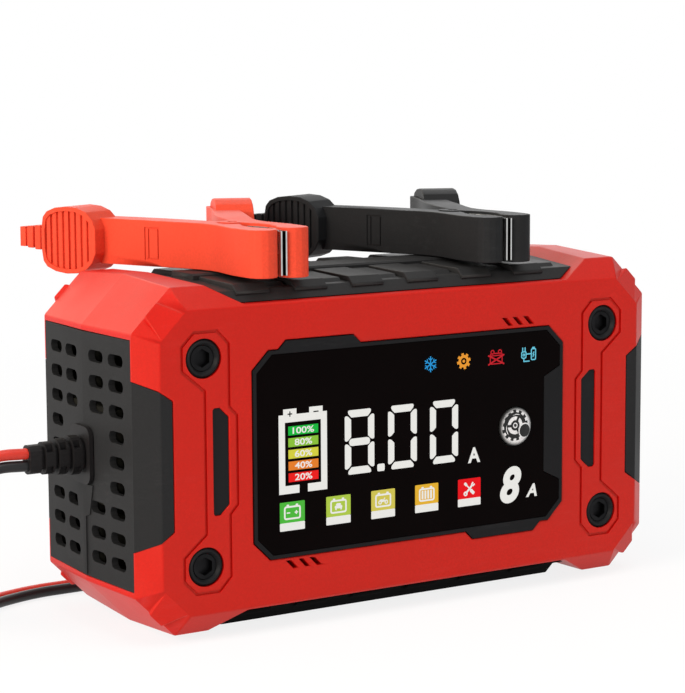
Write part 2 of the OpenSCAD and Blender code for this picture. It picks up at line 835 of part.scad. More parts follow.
jaw_inner = [for (p = [[0.3, 25.5], [1.3, 22.5], [2.9, 18.5], [3.4, 14.5], [2.9, 10.5],
    [1.6, 7.5], [1, 5.5], [1, 2.7]]) jaw_at(p.x, p.y)];

// Outline of the right half of a clamp, jaw tip at v = 0, centre line at u = 0
half_points = concat(
    jaw_inner,
    [for (a = [225:25:350]) jaw_at(5 + 4.4 * cos(a), 4.6 + 4.4 * sin(a))],
    [for (p = [[9.7, 9], [9.6, 14], [8.9, 19], [8.2, 24], [8.3, 28.5]]) jaw_at(p.x, p.y)],
    [for (p = [[9.2, 33], [11.3, 38.5], [14.6, 46], [19, 56.5], [31, 84.5], [23.2, 88],
        [21.3, 83], [18, 75], [13.6, 66.5], [9.3, 57.5], [5.8, 49], [3.3, 41.5], [2, 36],
        [1.5, 34.2], [0.3, 30]]) handle_at(p.x, p.y)]);

handle_lean = atan2(31 - 19, 28 * handle_s);  // lean of a handle from the clamp's axis
handle_end = handle_at(27.1, 86.25);
pad_place = handle_at(27.1, 75.5);

// Moves a drawing onto a handle: outwards along x, along the handle in y
module on_handle(place) translate(place) rotate(-handle_lean) children();

pad_l = 10.8;            // half length of a thumb pad
pad_h = clamp_t / 2 + 3; // half height of a thumb pad
pad_t = 4.4;             // how far a pad stands out from its handle
pad_root = 7.2;          // how far it reaches into its handle
pad_rim = 1.3;
pad_ribs = 8;
pad_deep = 1.2;          // floor below the rim
pad_groove = 0.8;
pad_step = 2 * (pad_l - pad_rim) / pad_ribs;

// Upper outline of a pad from the handle's end to its inner end, in half lengths and heights
pad_profile = [[1, 0.3], [0.94, 0.66], [0.8, 0.83], [0.5, 0.95], [0.1, 1], [-0.3, 0.97],
    [-0.62, 0.85], [-0.84, 0.64], [-0.96, 0.36]];

module pad_shape(less) {
    n = len(pad_profile) - 1;
    polygon([for (s = [1, -1], k = [0:n])
        let (q = pad_profile[s > 0 ? k : n - k])
        [q.x * (pad_l - less), s * q.y * (pad_h - less)]]);
}

// Barrel-shaped thumb pad with a rim and ribs
module pad() {
    on_handle(pad_place) translate([-pad_root, 0, clamp_t / 2]) rotate([90, 0, 90])
        difference() {
            linear_extrude(pad_t + pad_root) pad_shape(0);
            translate([0, 0, pad_t + pad_root - pad_deep]) difference() {
                linear_extrude(2) pad_shape(pad_rim);
                for (k = [0:pad_ribs - 1])
                    translate([k * pad_step - pad_l + pad_rim + pad_groove / 2, -pad_h, -1])
                        cube([pad_step - pad_groove, 2 * pad_h, 1 + pad_deep * 0.6]);
            }
        }
}

// Ribbed blind nub on the end of the handle without a lead
module nub() {
    on_handle([handle_end.x, handle_end.y]) translate([2.6, -0.5, clamp_t / 2]) {
        translate([-2, 0, -2.6]) cube([4, 13, 5.2]);
        for (k = [0:3])
            translate([-3.6 + 0.35 * k, 1 + 3.3 * k, -4 + 0.35 * k])
                cube([7.2 - 0.7 * k, 2.3, 8 - 0.7 * k]);
    }
}

// Sunk lines of a small split rectangle on the handle's outer face
module handle_mark() {
    on_handle(handle_at(14.6, 46)) translate([-0.4, 1, clamp_t / 2]) difference() {
        translate([0, 0, -4.8]) cube([2, 5.4, 9.6]);
        translate([-1, 0.5, -4.3]) cube([4, 3, 8.6]);
        translate([-1, 4, -4.3]) cube([4, 0.9, 8.6]);
    }
}

fork_t = clamp_t * 0.24;                 // thickness of one outer lug
knuckle_t = clamp_t * 0.13;              // thickness of one inner lug

module half_blank(low, high) translate([0, 0, low]) linear_extrude(high - low)
    polygon(half_points);

module at_pivot(low, high, r) translate([0, pivot_v, low]) cylinder(r = r, h = high - low);

// Groove for the spring's fixed leg in the lead half
module leg_groove() {
    translate([0, pivot_v, clamp_t / 2 - 1.8]) linear_extrude(3.6)
        polygon([[-1, 0], [3.9, 0], [5.2, 14.5], [-1, 14.5]]);
}

// Room for the spring's other leg in the squeeze half, over its whole turn
module leg_room() {
    translate([0, pivot_v, clamp_t / 2 - 1.8]) linear_extrude(3.6)
        polygon([[-1, -2], [4, -2], [5.2, 2.5], [10, 9], [9.6, 11.4], [4, 14.5], [-1, 14.5]]);
}

module lead_handle() {
    difference() {
        union() {
            difference() {
                half_blank(0, clamp_t);
                at_pivot(fork_t, clamp_t - fork_t, lug_r + gap);
                leg_groove();
            }
            at_pivot(0, fork_t, lug_r);
            at_pivot(clamp_t - fork_t, clamp_t, lug_r);
            pad();
        }
        at_pivot(-1, clamp_t + 1, pin_r + 0.05);
        handle_mark();
        on_handle([handle_end.x, handle_end.y]) translate([0, -socket_l, clamp_t / 2])
            rotate([-90, 0, 0]) cylinder(r = lead_d / 2 + 0.1, h = socket_l + 5);
    }
}

module squeeze_handle() {
    low = fork_t + gap;
    high = clamp_t - fork_t - gap;
    mirror([1, 0, 0]) difference() {
        union() {
            difference() {
                half_blank(gap, clamp_t - gap);
                at_pivot(-1, fork_t + gap, lug_r + gap);
                at_pivot(clamp_t - fork_t - gap, clamp_t + 1, lug_r + gap);
                at_pivot(low + knuckle_t, high - knuckle_t, lug_r + gap);
                leg_room();
            }
            at_pivot(low, low + knuckle_t, lug_r);
            at_pivot(high - knuckle_t, high, lug_r);
            pad();
            nub();
        }
        at_pivot(-1, clamp_t + 1, pin_r + 0.07);
        handle_mark();
    }
}

strip_t = 0.6;

// Metal strip lining one jaw
module jaw_strip() {
    line = [for (k = [1:len(jaw_inner) - 1]) jaw_inner[k]];
    tip = [[1, 0.9]];
    points = concat(line, tip);
    translate([0, 0, 0.8]) linear_extrude(clamp_t - 1.6)
        polygon(concat(points, [for (k = [len(points) - 1:-1:0]) points[k] - [strip_t, 0]]));
}

module pivot_pin() {
    at_pivot(0.2, clamp_t - 0.2, pin_r);
}

wire_r = 0.4;
coil_r = 2.7;
coil_pitch = 1.3;
coil_turns = 1.5;
coil_rise = coil_pitch * coil_turns / 2;
echo(least_gap_in_coil = coil_pitch * cos(atan2(coil_pitch, 2 * PI * coil_r)) - 2 * wire_r);

// Torsion spring: a coil round the pin with a leg into each handle
function coil_points() = concat(
    [[coil_r + 1.2, 13, -coil_rise], [coil_r + 0.6, 6.5, -coil_rise]],
    [for (k = [0:24 * coil_turns])
        [coil_r * cos(-15 * k), coil_r * sin(-15 * k), coil_pitch * k / 24 - coil_rise]],
    [[-coil_r - 0.6, 6.5, coil_rise], [-coil_r - 1.2, 13, coil_rise]]);

module clamp_spring() {
    translate([0, pivot_v, clamp_t / 2]) tube(coil_points(), wire_r, 6);
}

module red_clamp() color("#e8382e") translate([red_clamp_x, clamp_tip_y, clamp_z]) children();
module black_clamp() color("#2b2b2c") translate([black_clamp_x, clamp_tip_y, clamp_z]) children();

module red_lead_handle() red_clamp() lead_handle();
module red_squeeze_handle() red_clamp() squeeze_handle();
module red_lead_jaw_strip() color("silver") red_clamp() jaw_strip();
module red_squeeze_jaw_strip() color("silver") red_clamp() mirror([1, 0, 0]) jaw_strip();
module red_pivot_pin() color("silver") red_clamp() pivot_pin();
module red_clamp_spring() color("silver") red_clamp() clamp_spring();
module black_lead_handle() black_clamp() lead_handle();
module black_squeeze_handle() black_clamp() squeeze_handle();
module black_lead_jaw_strip() color("silver") black_clamp() jaw_strip();
module black_squeeze_jaw_strip() color("silver") black_clamp() mirror([1, 0, 0]) jaw_strip();
module black_pivot_pin() color("silver") black_clamp() pivot_pin();
module black_clamp_spring() color("silver") black_clamp() clamp_spring();

// ---------------------------------------------------------------- tubes and leads

function unit(v) = v / norm(v);

// Point t of the way from b to c on a smooth curve through a, b, c and d
function curve(a, b, c, d, t) =
    0.5 * (2 * b + (c - a) * t + (2 * a - 5 * b + 4 * c - d) * t * t
        + (3 * b - a - 3 * c + d) * t * t * t);

// Smooth path through a list of points, with a step of about the given length
function smooth(p, step) =
    let (n = len(p) - 1)
    concat([for (k = [0:n - 1])
        let (a = p[max(k - 1, 0)], b = p[k], c = p[k + 1], d = p[min(k + 2, n)],
             m = max(1, round(norm(c - b) / step)))
        for (j = [0:m - 1]) curve(a, b, c, d, j / m)], [p[n]]);

function tangent(p, k) = unit(p[min(k + 1, len(p) - 1)] - p[max(k - 1, 0)]);

// Directions across the path, carried along it without twist
function across(p, k, u) = k == len(p) ? [] :
    let (t = tangent(p, k), v = unit(u - (u * t) * t))
    concat([v], across(p, k + 1, v));

// Tube of radius r with the given number of sides along a list of points
module tube(p, r, sides) {
    n = len(p);
    first = cross(tangent(p, 0), [0.1, 0.2, 1]);
    u = across(p, 0, first);
    polyhedron(
        points = [for (k = [0:n - 1])
            let (w = cross(tangent(p, k), u[k]))
            for (j = [0:sides - 1])
                p[k] + r * (cos(360 * j / sides) * u[k] + sin(360 * j / sides) * w)],
        faces = concat(
            [[for (j = [0:sides - 1]) j]],
            [for (k = [0:n - 2], j = [0:sides - 1])
                [sides * k + j, sides * k + sides + j, sides * k + sides + (j + 1) % sides,
                 sides * k + (j + 1) % sides]],
            [[for (j = [sides - 1:-1:0]) sides * (n - 1) + j]]));
}

socket_l = 5;
lead_step = 3.4 * lead_d;
lead_r = lead_d / 2;
clamp_mid = clamp_z + clamp_t / 2;
relief_z = mid_z + foot;

// End of a clamp's lead: from the bottom of its socket out of the handle's end
function clamp_exit(x) =
    let (q = [x + handle_end.x, clamp_tip_y + handle_end.y, clamp_mid],
         d = [sin(handle_lean), cos(handle_lean), 0])
    [q - socket_l * d, q + 1.5 * d, q + 8 * d];

// Routes of the leads from the clamps down behind the housing and round to the relief
red_route = [[-9.6, 68, 104.6], [-7.3, 73.3, 98.7], [-6.4, 75.3, 90.6], [-6.2, 75.8, 81], [-6, 76, 56],
    [-6, 76, 30], [-5.6, 76, 20.5], [-2.6, 76, 11.4], [3.6, 76, 4.6], [12, 75.4, 1.8],
    [21.4, 72.6, 1.8], [28.2, 66.2, 1.8], [30.4, 57.4, 1.8], [27, 49.2, 1.8], [19.4, 44.6, 1.8],
    [10, 43.8, 1.8], [-1, 43.8, 1.8], [-38, 43.8, 1.8], [-76, 43.8, 1.8], [-88, 43.2, 1.8],
    [-100, 40, 1.8], [-111.6, 34, 2], [-122, 25.4, 4.4], [-130, 15.4, 11], [-134.6, 6.6, 20.6],
    [-135.8, 1.4, 31], [-133.2, 0, 41], [-126.6, 0, 49.2]];
black_route = [[67.4, 68, 104.6], [69.7, 73.3, 98.7], [70.6, 75.3, 90.6], [70.8, 75.8, 81],
    [70.8, 75.8, 56], [70.6, 75.6, 30], [69.4, 74.4, 19.6], [64.8, 70.4, 9.8], [57.6, 64, 3.6],
    [48.8, 56.4, 1.8], [39.6, 49, 1.8], [29.4, 43, 1.8], [18, 40.2, 1.8], [6, 40, 1.8], [-36, 40, 1.8],
    [-76, 40, 1.8], [-87.6, 39.4, 1.8], [-98.8, 36.2, 1.8], [-109.4, 30.4, 2.2], [-119, 22, 5],
    [-126.2, 12.8, 11.6], [-130, 5, 20.6], [-130.8, 0.8, 30.2], [-128.8, 0, 38.8], [-123.8, 0, 45.6]];

function relief_end(side) = [[-relief_tip - 9, 0, relief_z + side * (lead_r + 0.1)],
    [-relief_tip, 0, relief_z + side * (lead_r + 0.1)]];

module red_lead() {
    color("#e8382e")
        tube(smooth(concat(clamp_exit(red_clamp_x), red_route, relief_end(1)), lead_step), lead_r, 8);
}

module black_lead() {
    color("#2b2b2c")
        tube(smooth(concat(clamp_exit(black_clamp_x), black_route, relief_end(-1)), lead_step),
            lead_r, 8);
}

// ---------------------------------------------------------------- pieces

front_shell();
rear_shell();
top_armour();
base_armour();
left_end_panel();
right_end_panel();
slot_inserts();
screw_collars();
housing_screws();
display_bezel();
display_window();
display_board();
display_segments();
mode_switch();
mode_button();
strain_relief();
mains_gland();
main_board();
board_screws();
transformer_core();
transformer_winding();
input_capacitor();
output_capacitors();
choke();
heat_sink();
power_transistors();
fuse_holder();
relay();
fan_frame();
fan_rotor();
red_lead_handle();
red_squeeze_handle();
red_lead_jaw_strip();
red_squeeze_jaw_strip();
red_pivot_pin();
red_clamp_spring();
black_lead_handle();
black_squeeze_handle();
black_lead_jaw_strip();
black_squeeze_jaw_strip();
black_pivot_pin();
black_clamp_spring();
red_lead();
black_lead();
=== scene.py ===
"""A twelve volt car battery charger, dressed around its fixed frame."""

import json
import math

import bmesh
import bpy
from bpy.props import FloatProperty, FloatVectorProperty, IntProperty, PointerProperty
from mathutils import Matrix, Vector
from mathutils.geometry import intersect_point_line


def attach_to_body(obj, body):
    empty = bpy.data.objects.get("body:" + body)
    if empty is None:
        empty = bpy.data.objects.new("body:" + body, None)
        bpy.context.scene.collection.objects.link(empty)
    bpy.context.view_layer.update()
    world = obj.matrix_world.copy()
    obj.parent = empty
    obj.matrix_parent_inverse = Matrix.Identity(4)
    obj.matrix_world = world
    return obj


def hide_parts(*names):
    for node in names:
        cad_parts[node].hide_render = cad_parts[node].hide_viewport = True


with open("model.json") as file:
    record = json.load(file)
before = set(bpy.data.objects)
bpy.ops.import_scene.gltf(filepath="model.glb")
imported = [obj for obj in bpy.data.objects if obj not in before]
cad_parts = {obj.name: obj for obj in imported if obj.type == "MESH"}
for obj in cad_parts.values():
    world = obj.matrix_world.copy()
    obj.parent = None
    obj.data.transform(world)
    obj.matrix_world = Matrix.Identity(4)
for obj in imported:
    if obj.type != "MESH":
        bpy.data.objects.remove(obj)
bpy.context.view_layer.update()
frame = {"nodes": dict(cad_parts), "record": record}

bl_info = {
    "name": "Car Battery Charger",
    "version": (1, 0, 0),
    "blender": (4, 5, 0),
    "location": "View3D > Sidebar > Charger",
    "description": "Dresses the charger's frame with its housing, clamps and leads",
    "category": "Object",
}

MM = 0.001
NODES = frame["nodes"]
BODY_OF = {name: body for body, names in frame["record"]["behaviour"]["bodies"].items()
           for name in names}


# ----- settings

def colour(what, value):
    """A colour that a user may change."""
    return FloatVectorProperty(
        name=what.capitalize(), description="Colour of the " + what, subtype="COLOR",
        size=3, min=0.0, max=1.0, default=value)


def length(name, description, value, low, high):
    """A length in metres that a user may change."""
    return FloatProperty(name=name, description=description, unit="LENGTH",
                         default=value, min=low, max=high, precision=5)


class ChargerColours(bpy.types.PropertyGroup):
    """Colours of the charger's mouldings and lit figures."""

    housing: colour("housing", (0.540, 0.0040, 0.003))
    clamp_red: colour("red clamp", (0.73, 0.068, 0.033))
    lead_red: colour("red lead", (0.66, 0.040, 0.024))
    armour: colour("armour panels", (0.024, 0.024, 0.0245))
    panel: colour("vented ends", (0.0215, 0.0218, 0.0228))
    clamp_black: colour("black clamp", (0.0185, 0.0190, 0.0200))
    lead_black: colour("black lead", (0.015, 0.0155, 0.017))
    window: colour("display window", (0.0016, 0.0008, 0.0008))
    figures: colour("white figures", (0.86, 0.86, 0.83))
    green: colour("full charge bar", (0.005, 0.479, 0.045))
    lime: colour("80% bar", (0.262, 0.552, 0.042))
    yellow: colour("60% bar", (0.687, 0.658, 0.051))
    orange: colour("40% bar", (0.820, 0.215, 0.021))
    red: colour("20% bar", (0.871, 0.009, 0.009))
    leaf: colour("first tile", (0.072, 0.491, 0.045))
    spring: colour("second tile", (0.434, 0.604, 0.065))
    straw: colour("third tile", (0.658, 0.578, 0.089))
    amber: colour("fourth tile", (0.807, 0.456, 0.030))
    scarlet: colour("fifth tile", (0.839, 0.003, 0.008))
    blue: colour("snow crystal", (0.020, 0.330, 0.750))
    cyan: colour("plug sign", (0.150, 0.620, 0.800))
    summer: colour("sun wheel", (0.850, 0.330, 0.030))
    fault: colour("crossed battery", (0.560, 0.012, 0.022))


class ChargerSizes(bpy.types.PropertyGroup):
    """Sizes of what is modelled on the frame."""

    soft_edge: length(
        "Soft edge", "Width of the softened housing edges", 0.0004, 0.0001, 0.001)
    print_proud: length(
        "Figure height", "How far figures stand off the window", 5e-5, 2e-5, 3e-4)
    lead_diameter: length(
        "Lead diameter", "Diameter of an output lead", 0.0032, 0.0028, 0.0036)
    lead_sides: IntProperty(
        name="Lead sides", description="Roundness of the leads", default=4, min=2,
        max=8)


class ChargerView(bpy.types.PropertyGroup):
    """Where the camera stands and how strong the even light is."""

    place: FloatVectorProperty(
        name="Camera place", description="Where the camera stands", size=3,
        subtype="TRANSLATION", default=(-0.35996, -0.56774, 0.16528), precision=5)
    turn: FloatVectorProperty(
        name="Camera turn", description="How the camera is turned", size=3,
        subtype="EULER", default=[math.radians(a) for a in (82.2616, 0.3111, -32.129)])
    lens: FloatProperty(
        name="Lens", description="Focal length in millimetres", default=117.266,
        min=20, max=300)
    room_light: FloatProperty(
        name="Room light", description="Even light from the whole room", default=0.56,
        min=0, max=2)


def settings():
    scene = bpy.context.scene
    return scene.charger_colours, scene.charger_sizes, scene.charger_view


# ----- modelling aids

def put(thing, **values):
    """Sets several values of one thing."""
    for label, value in values.items():
        setattr(thing, label, value)
    return thing


def linked(name, data):
    """A new object in the scene that shows this data."""
    thing = bpy.data.objects.new(name, data)
    bpy.context.scene.collection.objects.link(thing)
    return thing


def start(primitive, **values):
    """Adds a primitive with nothing else selected."""
    bpy.ops.object.select_all(action="DESELECT")
    primitive(**values)
    return bpy.context.object


def select_only(*pieces):
    """Makes these pieces the whole selection, the first one active."""
    bpy.ops.object.select_all(action="DESELECT")
    for piece in pieces:
        piece.select_set(True)
    bpy.context.view_layer.objects.active = pieces[0]


def open_mesh(piece, kind="FACE", action="DESELECT"):
    """Opens a piece for editing with nothing or everything selected."""
    select_only(piece)
    bpy.ops.object.mode_set(mode="EDIT")
    bpy.ops.mesh.select_mode(type=kind)
    bpy.ops.mesh.select_all(action=action)
    return bmesh.from_edit_mesh(piece.data)


def close_mesh():
    bpy.ops.object.mode_set(mode="OBJECT")


def pick(piece, parts, test):
    """Selects the faces or edges that pass the test."""
    for part in parts:
        if test(part):
            part.select_set(True)
    bmesh.update_edit_mesh(piece.data)


def shape_edges(piece, test, action, **values):
    """Picks the edges that pass the test, and runs one operator on them."""
    cage = open_mesh(piece, "EDGE")
    pick(piece, cage.edges, test)
    action(**values)
    close_mesh()


def turned(piece, degrees, middle):
    """Turns a whole mesh about a line through middle, from front to back."""
    open_mesh(piece, "VERT", "SELECT")
    bpy.ops.transform.rotate(value=math.radians(degrees), orient_axis="Y",
                             center_override=middle)
    close_mesh()
    return piece


def finish_modifier(piece, kind, **values):
    """Adds a modifier with these values and applies it."""
    select_only(piece)
    modifier = put(piece.modifiers.new(kind.lower(), kind), **values)
    bpy.ops.object.modifier_apply(modifier=modifier.name)
    return piece


def settle(piece):
    """Moves a piece's place, turn and size into its mesh."""
    select_only(piece)
    bpy.ops.object.transform_apply(location=True, rotation=True, scale=True)
    return piece


def joined(name, pieces):
    """Joins pieces into one with this name."""
    select_only(*pieces)
    if len(pieces) > 1:
        bpy.ops.object.join()
    piece = bpy.context.view_layer.objects.active
    piece.name = piece.data.name = name
    return piece


def give(piece, material):
    """Gives a piece one material."""
    piece.data.materials.clear()
    piece.data.materials.append(material)
    return piece


def attach(piece, body):
    """Lets a piece ride on a body."""
    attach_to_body(piece, body)
    return piece


def finish_node(name, material):
    """Gives a CAD node its finish, its shape as it is."""
    for place in NODES[name].material_slots:
        place.material = material


# ----- shader node aids

def wire(tree, node, inputs):
    """Feeds a node's inputs, each from a socket or with a plain value."""
    for label, value in inputs.items():
        socket = node.inputs[label]
        if isinstance(value, bpy.types.NodeSocket):
            tree.links.new(value, socket)
        elif socket.type == "RGBA":
            socket.default_value = (*value, 1.0)
        else:
            socket.default_value = value


def add(tree, kind, inputs=None, **values):
    """Adds a shader node with these settings and inputs."""
    node = put(tree.nodes.new("ShaderNode" + kind), **values)
    wire(tree, node, inputs or {})
    return node


def noise(tree, place, scale, detail=3.0, rough=0.5):
    inputs = {"Vector": place, "Scale": scale, "Detail": detail, "Roughness": rough}
    return add(tree, "TexNoise", inputs).outputs["Fac"]


def vector(tree, operation, *values):
    """A sum on coordinates; its length comes out as a number."""
    node = add(tree, "VectorMath", dict(enumerate(values)), operation=operation)
    return node.outputs["Value" if operation == "LENGTH" else "Vector"]


def sums(tree, operation, *values):
    return add(tree, "Math", dict(enumerate(values)), operation=operation).outputs[0]


def ramp(tree, value, low, high, to_low=0.0, to_high=1.0):
    inputs = {"Value": value, "From Min": low, "From Max": high, "To Min": to_low,
              "To Max": to_high}
    return add(tree, "MapRange", inputs).outputs["Result"]


def mixed(tree, share, first, second):
    """Mixes two colours by a share; a colour may be three numbers or a socket."""
    node = add(tree, "Mix", {"Factor": share, 6: first, 7: second}, data_type="RGBA")
    return node.outputs[2]


def shade_of(tone, factor):
    return tuple(min(1.0, channel * factor) for channel in tone)


def new_group(name, outs, ins=()):
    """A shader node group from coordinates and numbers to masks and heights."""
    group = bpy.data.node_groups.new(name, "ShaderNodeTree")
    group.interface.new_socket("Place", in_out="INPUT", socket_type="NodeSocketVector")
    for label, value in ins:
        group.interface.new_socket(
            label, in_out="INPUT", socket_type="NodeSocketFloat").default_value = value
    for name in outs:
        group.interface.new_socket(name, in_out="OUTPUT", socket_type="NodeSocketFloat")
    given = group.nodes.new("NodeGroupInput").outputs
    return group, given, group.nodes.new("NodeGroupOutput")


def moulded_grain():
    """Fine spark-eroded grain of a moulding, with soft uneven patches."""
    group, given, made = new_group("moulded_grain", ("Height", "Patches", "Speckle"),
                                   [("Grain Size", 1.0)])
    place = given["Place"]
    sized = add(group, "VectorMath", {0: place, "Scale": given["Grain Size"]},
                operation="SCALE").outputs[0]
    pits = add(group, "TexVoronoi", {"Scale": 2600.0, "Vector": sized},
               feature="SMOOTH_F1").outputs["Distance"]
    rise = sums(group, "ADD", noise(group, sized, 4200.0, 2.0, 0.6), pits)
    wire(group, made, {
        "Height": sums(group, "MULTIPLY", rise, 0.5),
        "Patches": ramp(group, noise(group, place, 38.0, 4.0, 0.55), 0.3, 0.7),
        "Speckle": ramp(group, noise(group, sized, 1500.0, 2.0, 0.7), 0.35, 0.65)})
    return group


def handling_marks():
    """Faint rubbed streaks left by hands and shelves."""
    group, given, made = new_group("handling_marks", ("Rubbed",))
    along = vector(group, "MULTIPLY", given["Place"], (1.0, 2.2, 7.0))
    streaks = ramp(group, noise(group, along, 120.0, 5.0, 0.62), 0.52, 0.74)
    where = ramp(group, noise(group, given["Place"], 24.0, 2.0, 0.5), 0.48, 0.66)
    wire(group, made, {"Rubbed": sums(group, "MULTIPLY", streaks, where)})
    return group


def drawn_metal():
    """Fine lines along drawn or rolled metal, with dull spots."""
    group, given, made = new_group("drawn_metal", ("Height", "Dull"))
    along = vector(group, "MULTIPLY", given["Place"], (1.0, 1.0, 14.0))
    spots = noise(group, given["Place"], 260.0, 4.0, 0.6)
    wire(group, made, {"Height": noise(group, along, 700.0, 3.0, 0.6),
                       "Dull": ramp(group, spots, 0.35, 0.7)})
    return group


MID_HEIGHT = 0.0505
# Half sizes in metres of the cavity, with its cut corner, and behind the end panels
CAVITY = (0.0862, 0.0283, 0.0437, 0.1212)
BEHIND_PANELS = (0.0879, 0.0245, 0.0346)


def deep_inside():
    """Tells the inside of the housing from its outside, by the form of its cavity,
    where painted shade goes.
    """
    group, given, made = new_group("deep_inside", ("Inside",))
    centred = vector(group, "SUBTRACT", given["Place"], (0, 0, MID_HEIGHT))
    sides = vector(group, "ABSOLUTE", centred)
    x, y, z = add(group, "SeparateXYZ", {0: sides}).outputs

    def within(values, limits):
        share = 1.0
        for value, limit in zip(values, limits):
            under = sums(group, "LESS_THAN", value, limit)
            share = sums(group, "MULTIPLY", under, share)
        return share

    cavity = within((x, y, z, sums(group, "ADD", x, z)), CAVITY)
    behind = within((x, y, z), BEHIND_PANELS)
    wire(group, made, {"Inside": sums(group, "MAXIMUM", cavity, behind)})
    return group


GROUPS = {}


def group_node(tree, maker, place, inputs=None):
    """Places a shared node group in a material."""
    if maker not in GROUPS:
        GROUPS[maker] = maker()
    return add(tree, "Group", {"Place": place, **(inputs or {})},
               node_tree=GROUPS[maker]).outputs


def new_material(name):
    """An empty material with its shader, and the object's own coordinates."""
    material = bpy.data.materials.new(name)
    material.use_nodes = True
    tree = material.node_tree
    place = tree.nodes.new("ShaderNodeTexCoord").outputs["Object"]
    return material, tree, tree.nodes["Principled BSDF"], place


def bump(tree, height, depth):
    inputs = {"Height": height, "Distance": depth, "Strength": 0.6}
    return add(tree, "Bump", inputs).outputs["Normal"]


def moulded(name, tone, rough=0.42, grain=1.0, specular=0.28, depth=0.00004,
            rubbed_rise=0.06, inside_shade=None, sheen=(1, 1, 1)):
    """Moulded plastic: fine grain, uneven gloss, faint rubbed streaks. Inside the
    cavity of a housing the colour may be painted shade of another tone; sheen tints
    what it mirrors."""
    material, tree, shader, place = new_material(name)
    grains = group_node(tree, moulded_grain, place, {"Grain Size": grain})
    rubbed = group_node(tree, handling_marks, place)["Rubbed"]
    tinted = mixed(tree, grains["Patches"], shade_of(tone, 0.93), shade_of(tone, 1.05))
    flecked = mixed(tree, grains["Speckle"], shade_of(tone, 0.90), tinted)
    pale = tuple(channel * 0.85 + 0.12 for channel in tone)
    worn = mixed(tree, sums(tree, "MULTIPLY", rubbed, rubbed_rise), flecked, pale)
    gloss = ramp(tree, grains["Patches"], 0, 1, rough - 0.05, rough + 0.05)
    # Inside the cavity the colour is painted shade, near black, and the finish fully
    # rough
    if inside_shade:
        inside = group_node(tree, deep_inside, place)["Inside"]
        worn = mixed(tree, inside, worn, inside_shade)
        gloss = sums(tree, "MAXIMUM", gloss, inside)
    wire(tree, shader, {
        "Base Color": worn, "Roughness": gloss, "Specular IOR Level": specular,
        "Specular Tint": sheen, "Normal": bump(tree, grains["Height"], depth)})
    return material


def metal(name, tone, rough=0.25):
    """Bare or plated metal with drawn lines and dull spots."""
    material, tree, shader, place = new_material(name)
    lines = group_node(tree, drawn_metal, place)
    wire(tree, shader, {
        "Base Color": mixed(tree, lines["Dull"], tone, shade_of(tone, 0.78)),
        "Roughness": ramp(tree, lines["Dull"], 0, 1, rough, rough + 0.18),
        "Metallic": 1.0, "Normal": bump(tree, lines["Height"], 0.00002)})
    return material


def lit(name, tone):
    """A lit figure on the display, with its fine dotted diffuser."""
    material, tree, shader, place = new_material(name)
    dots = {"Scale": 3200.0, "Randomness": 0.25, "Vector": place}
    share = ramp(tree, add(tree, "TexVoronoi", dots).outputs["Distance"], 0.0, 0.9)
    wire(tree, shader, {
        "Emission Color": mixed(tree, share, tone, shade_of(tone, 0.90)),
        "Emission Strength": 0.75,
        "Base Color": mixed(tree, share, shade_of(tone, 0.25), shade_of(tone, 0.2)),
        "Roughness": 0.5, "Specular IOR Level": 0.1})
    return material


def window_glass(tone):
    """The near black window: hard coat with faint smudges."""
    material, tree, shader, place = new_material("window_glass")
    rubbed = group_node(tree, handling_marks, place)["Rubbed"]
    soft = noise(tree, place, 60.0, 4.0, 0.5)
    wire(tree, shader, {
        "Base Color": mixed(tree, soft, tone, shade_of(tone, 1.8)),
        "Roughness": ramp(tree, rubbed, 0, 1, 0.10, 0.22), "Specular IOR Level": 0.02})
    return material


def circuit_board_finish():
    """Green laminate with paler tracks and a woven ground."""
    material, tree, shader, place = new_material("circuit_board_finish")
    tracks = add(tree, "TexBrick", {
        "Scale": 150.0, "Mortar Size": 0.035, "Color1": (0.012, 0.105, 0.040),
        "Color2": (0.016, 0.130, 0.050), "Mortar": (0.030, 0.210, 0.075),
        "Vector": place}).outputs
    weave = noise(tree, place, 1800.0, 2.0, 0.5)
    wire(tree, shader, {
        "Base Color": mixed(tree, ramp(tree, weave, 0.4, 0.6, 0, 0.3),
                            tracks["Color"], (0.006, 0.06, 0.02)),
        "Roughness": ramp(tree, weave, 0, 1, 0.3, 0.45),
        "Normal": bump(tree, tracks["Fac"], 0.00003)})
    return material


def wound_wire(name, tone, pitch):
    """Lacquered wire wound in close turns."""
    material, tree, shader, place = new_material(name)
    waves = {"Scale": 1 / pitch, "Distortion": 0.4, "Vector": place}
    turns = add(tree, "TexWave", waves, bands_direction="Z").outputs["Fac"]
    wire(tree, shader, {
        "Base Color": mixed(tree, turns, shade_of(tone, 0.45), tone),
        "Roughness": ramp(tree, turns, 0, 1, 0.45, 0.28),
        "Metallic": 0.7, "Normal": bump(tree, turns, 0.00012)})
    return material


def fading(material, x, z, near, far, tone, axes=(1, 0, 1)):
    """Lets a finish fade to another tone away from a point on the front, or towards
    it where near is the greater."""
    tree = material.node_tree
    colour_in = tree.nodes["Principled BSDF"].inputs["Base Color"]
    place = tree.nodes.new("ShaderNodeTexCoord").outputs["Object"]
    shift = vector(tree, "SUBTRACT", place, (x * MM, 0, z * MM))
    away = vector(tree, "LENGTH", vector(tree, "MULTIPLY", shift, axes))
    share = ramp(tree, away, near * MM, far * MM)
    before = colour_in.links[0].from_socket
    tree.links.new(mixed(tree, share, before, tone), colour_in)
    return material


# ----- softened copies

SOFT_FROM = math.radians(18.0)      # edges at least this sharp are rounded
CRISP_FROM = math.radians(8.0)      # edges at least this sharp keep a crisp shade
LEAST_EDGE = 1.2 * MM


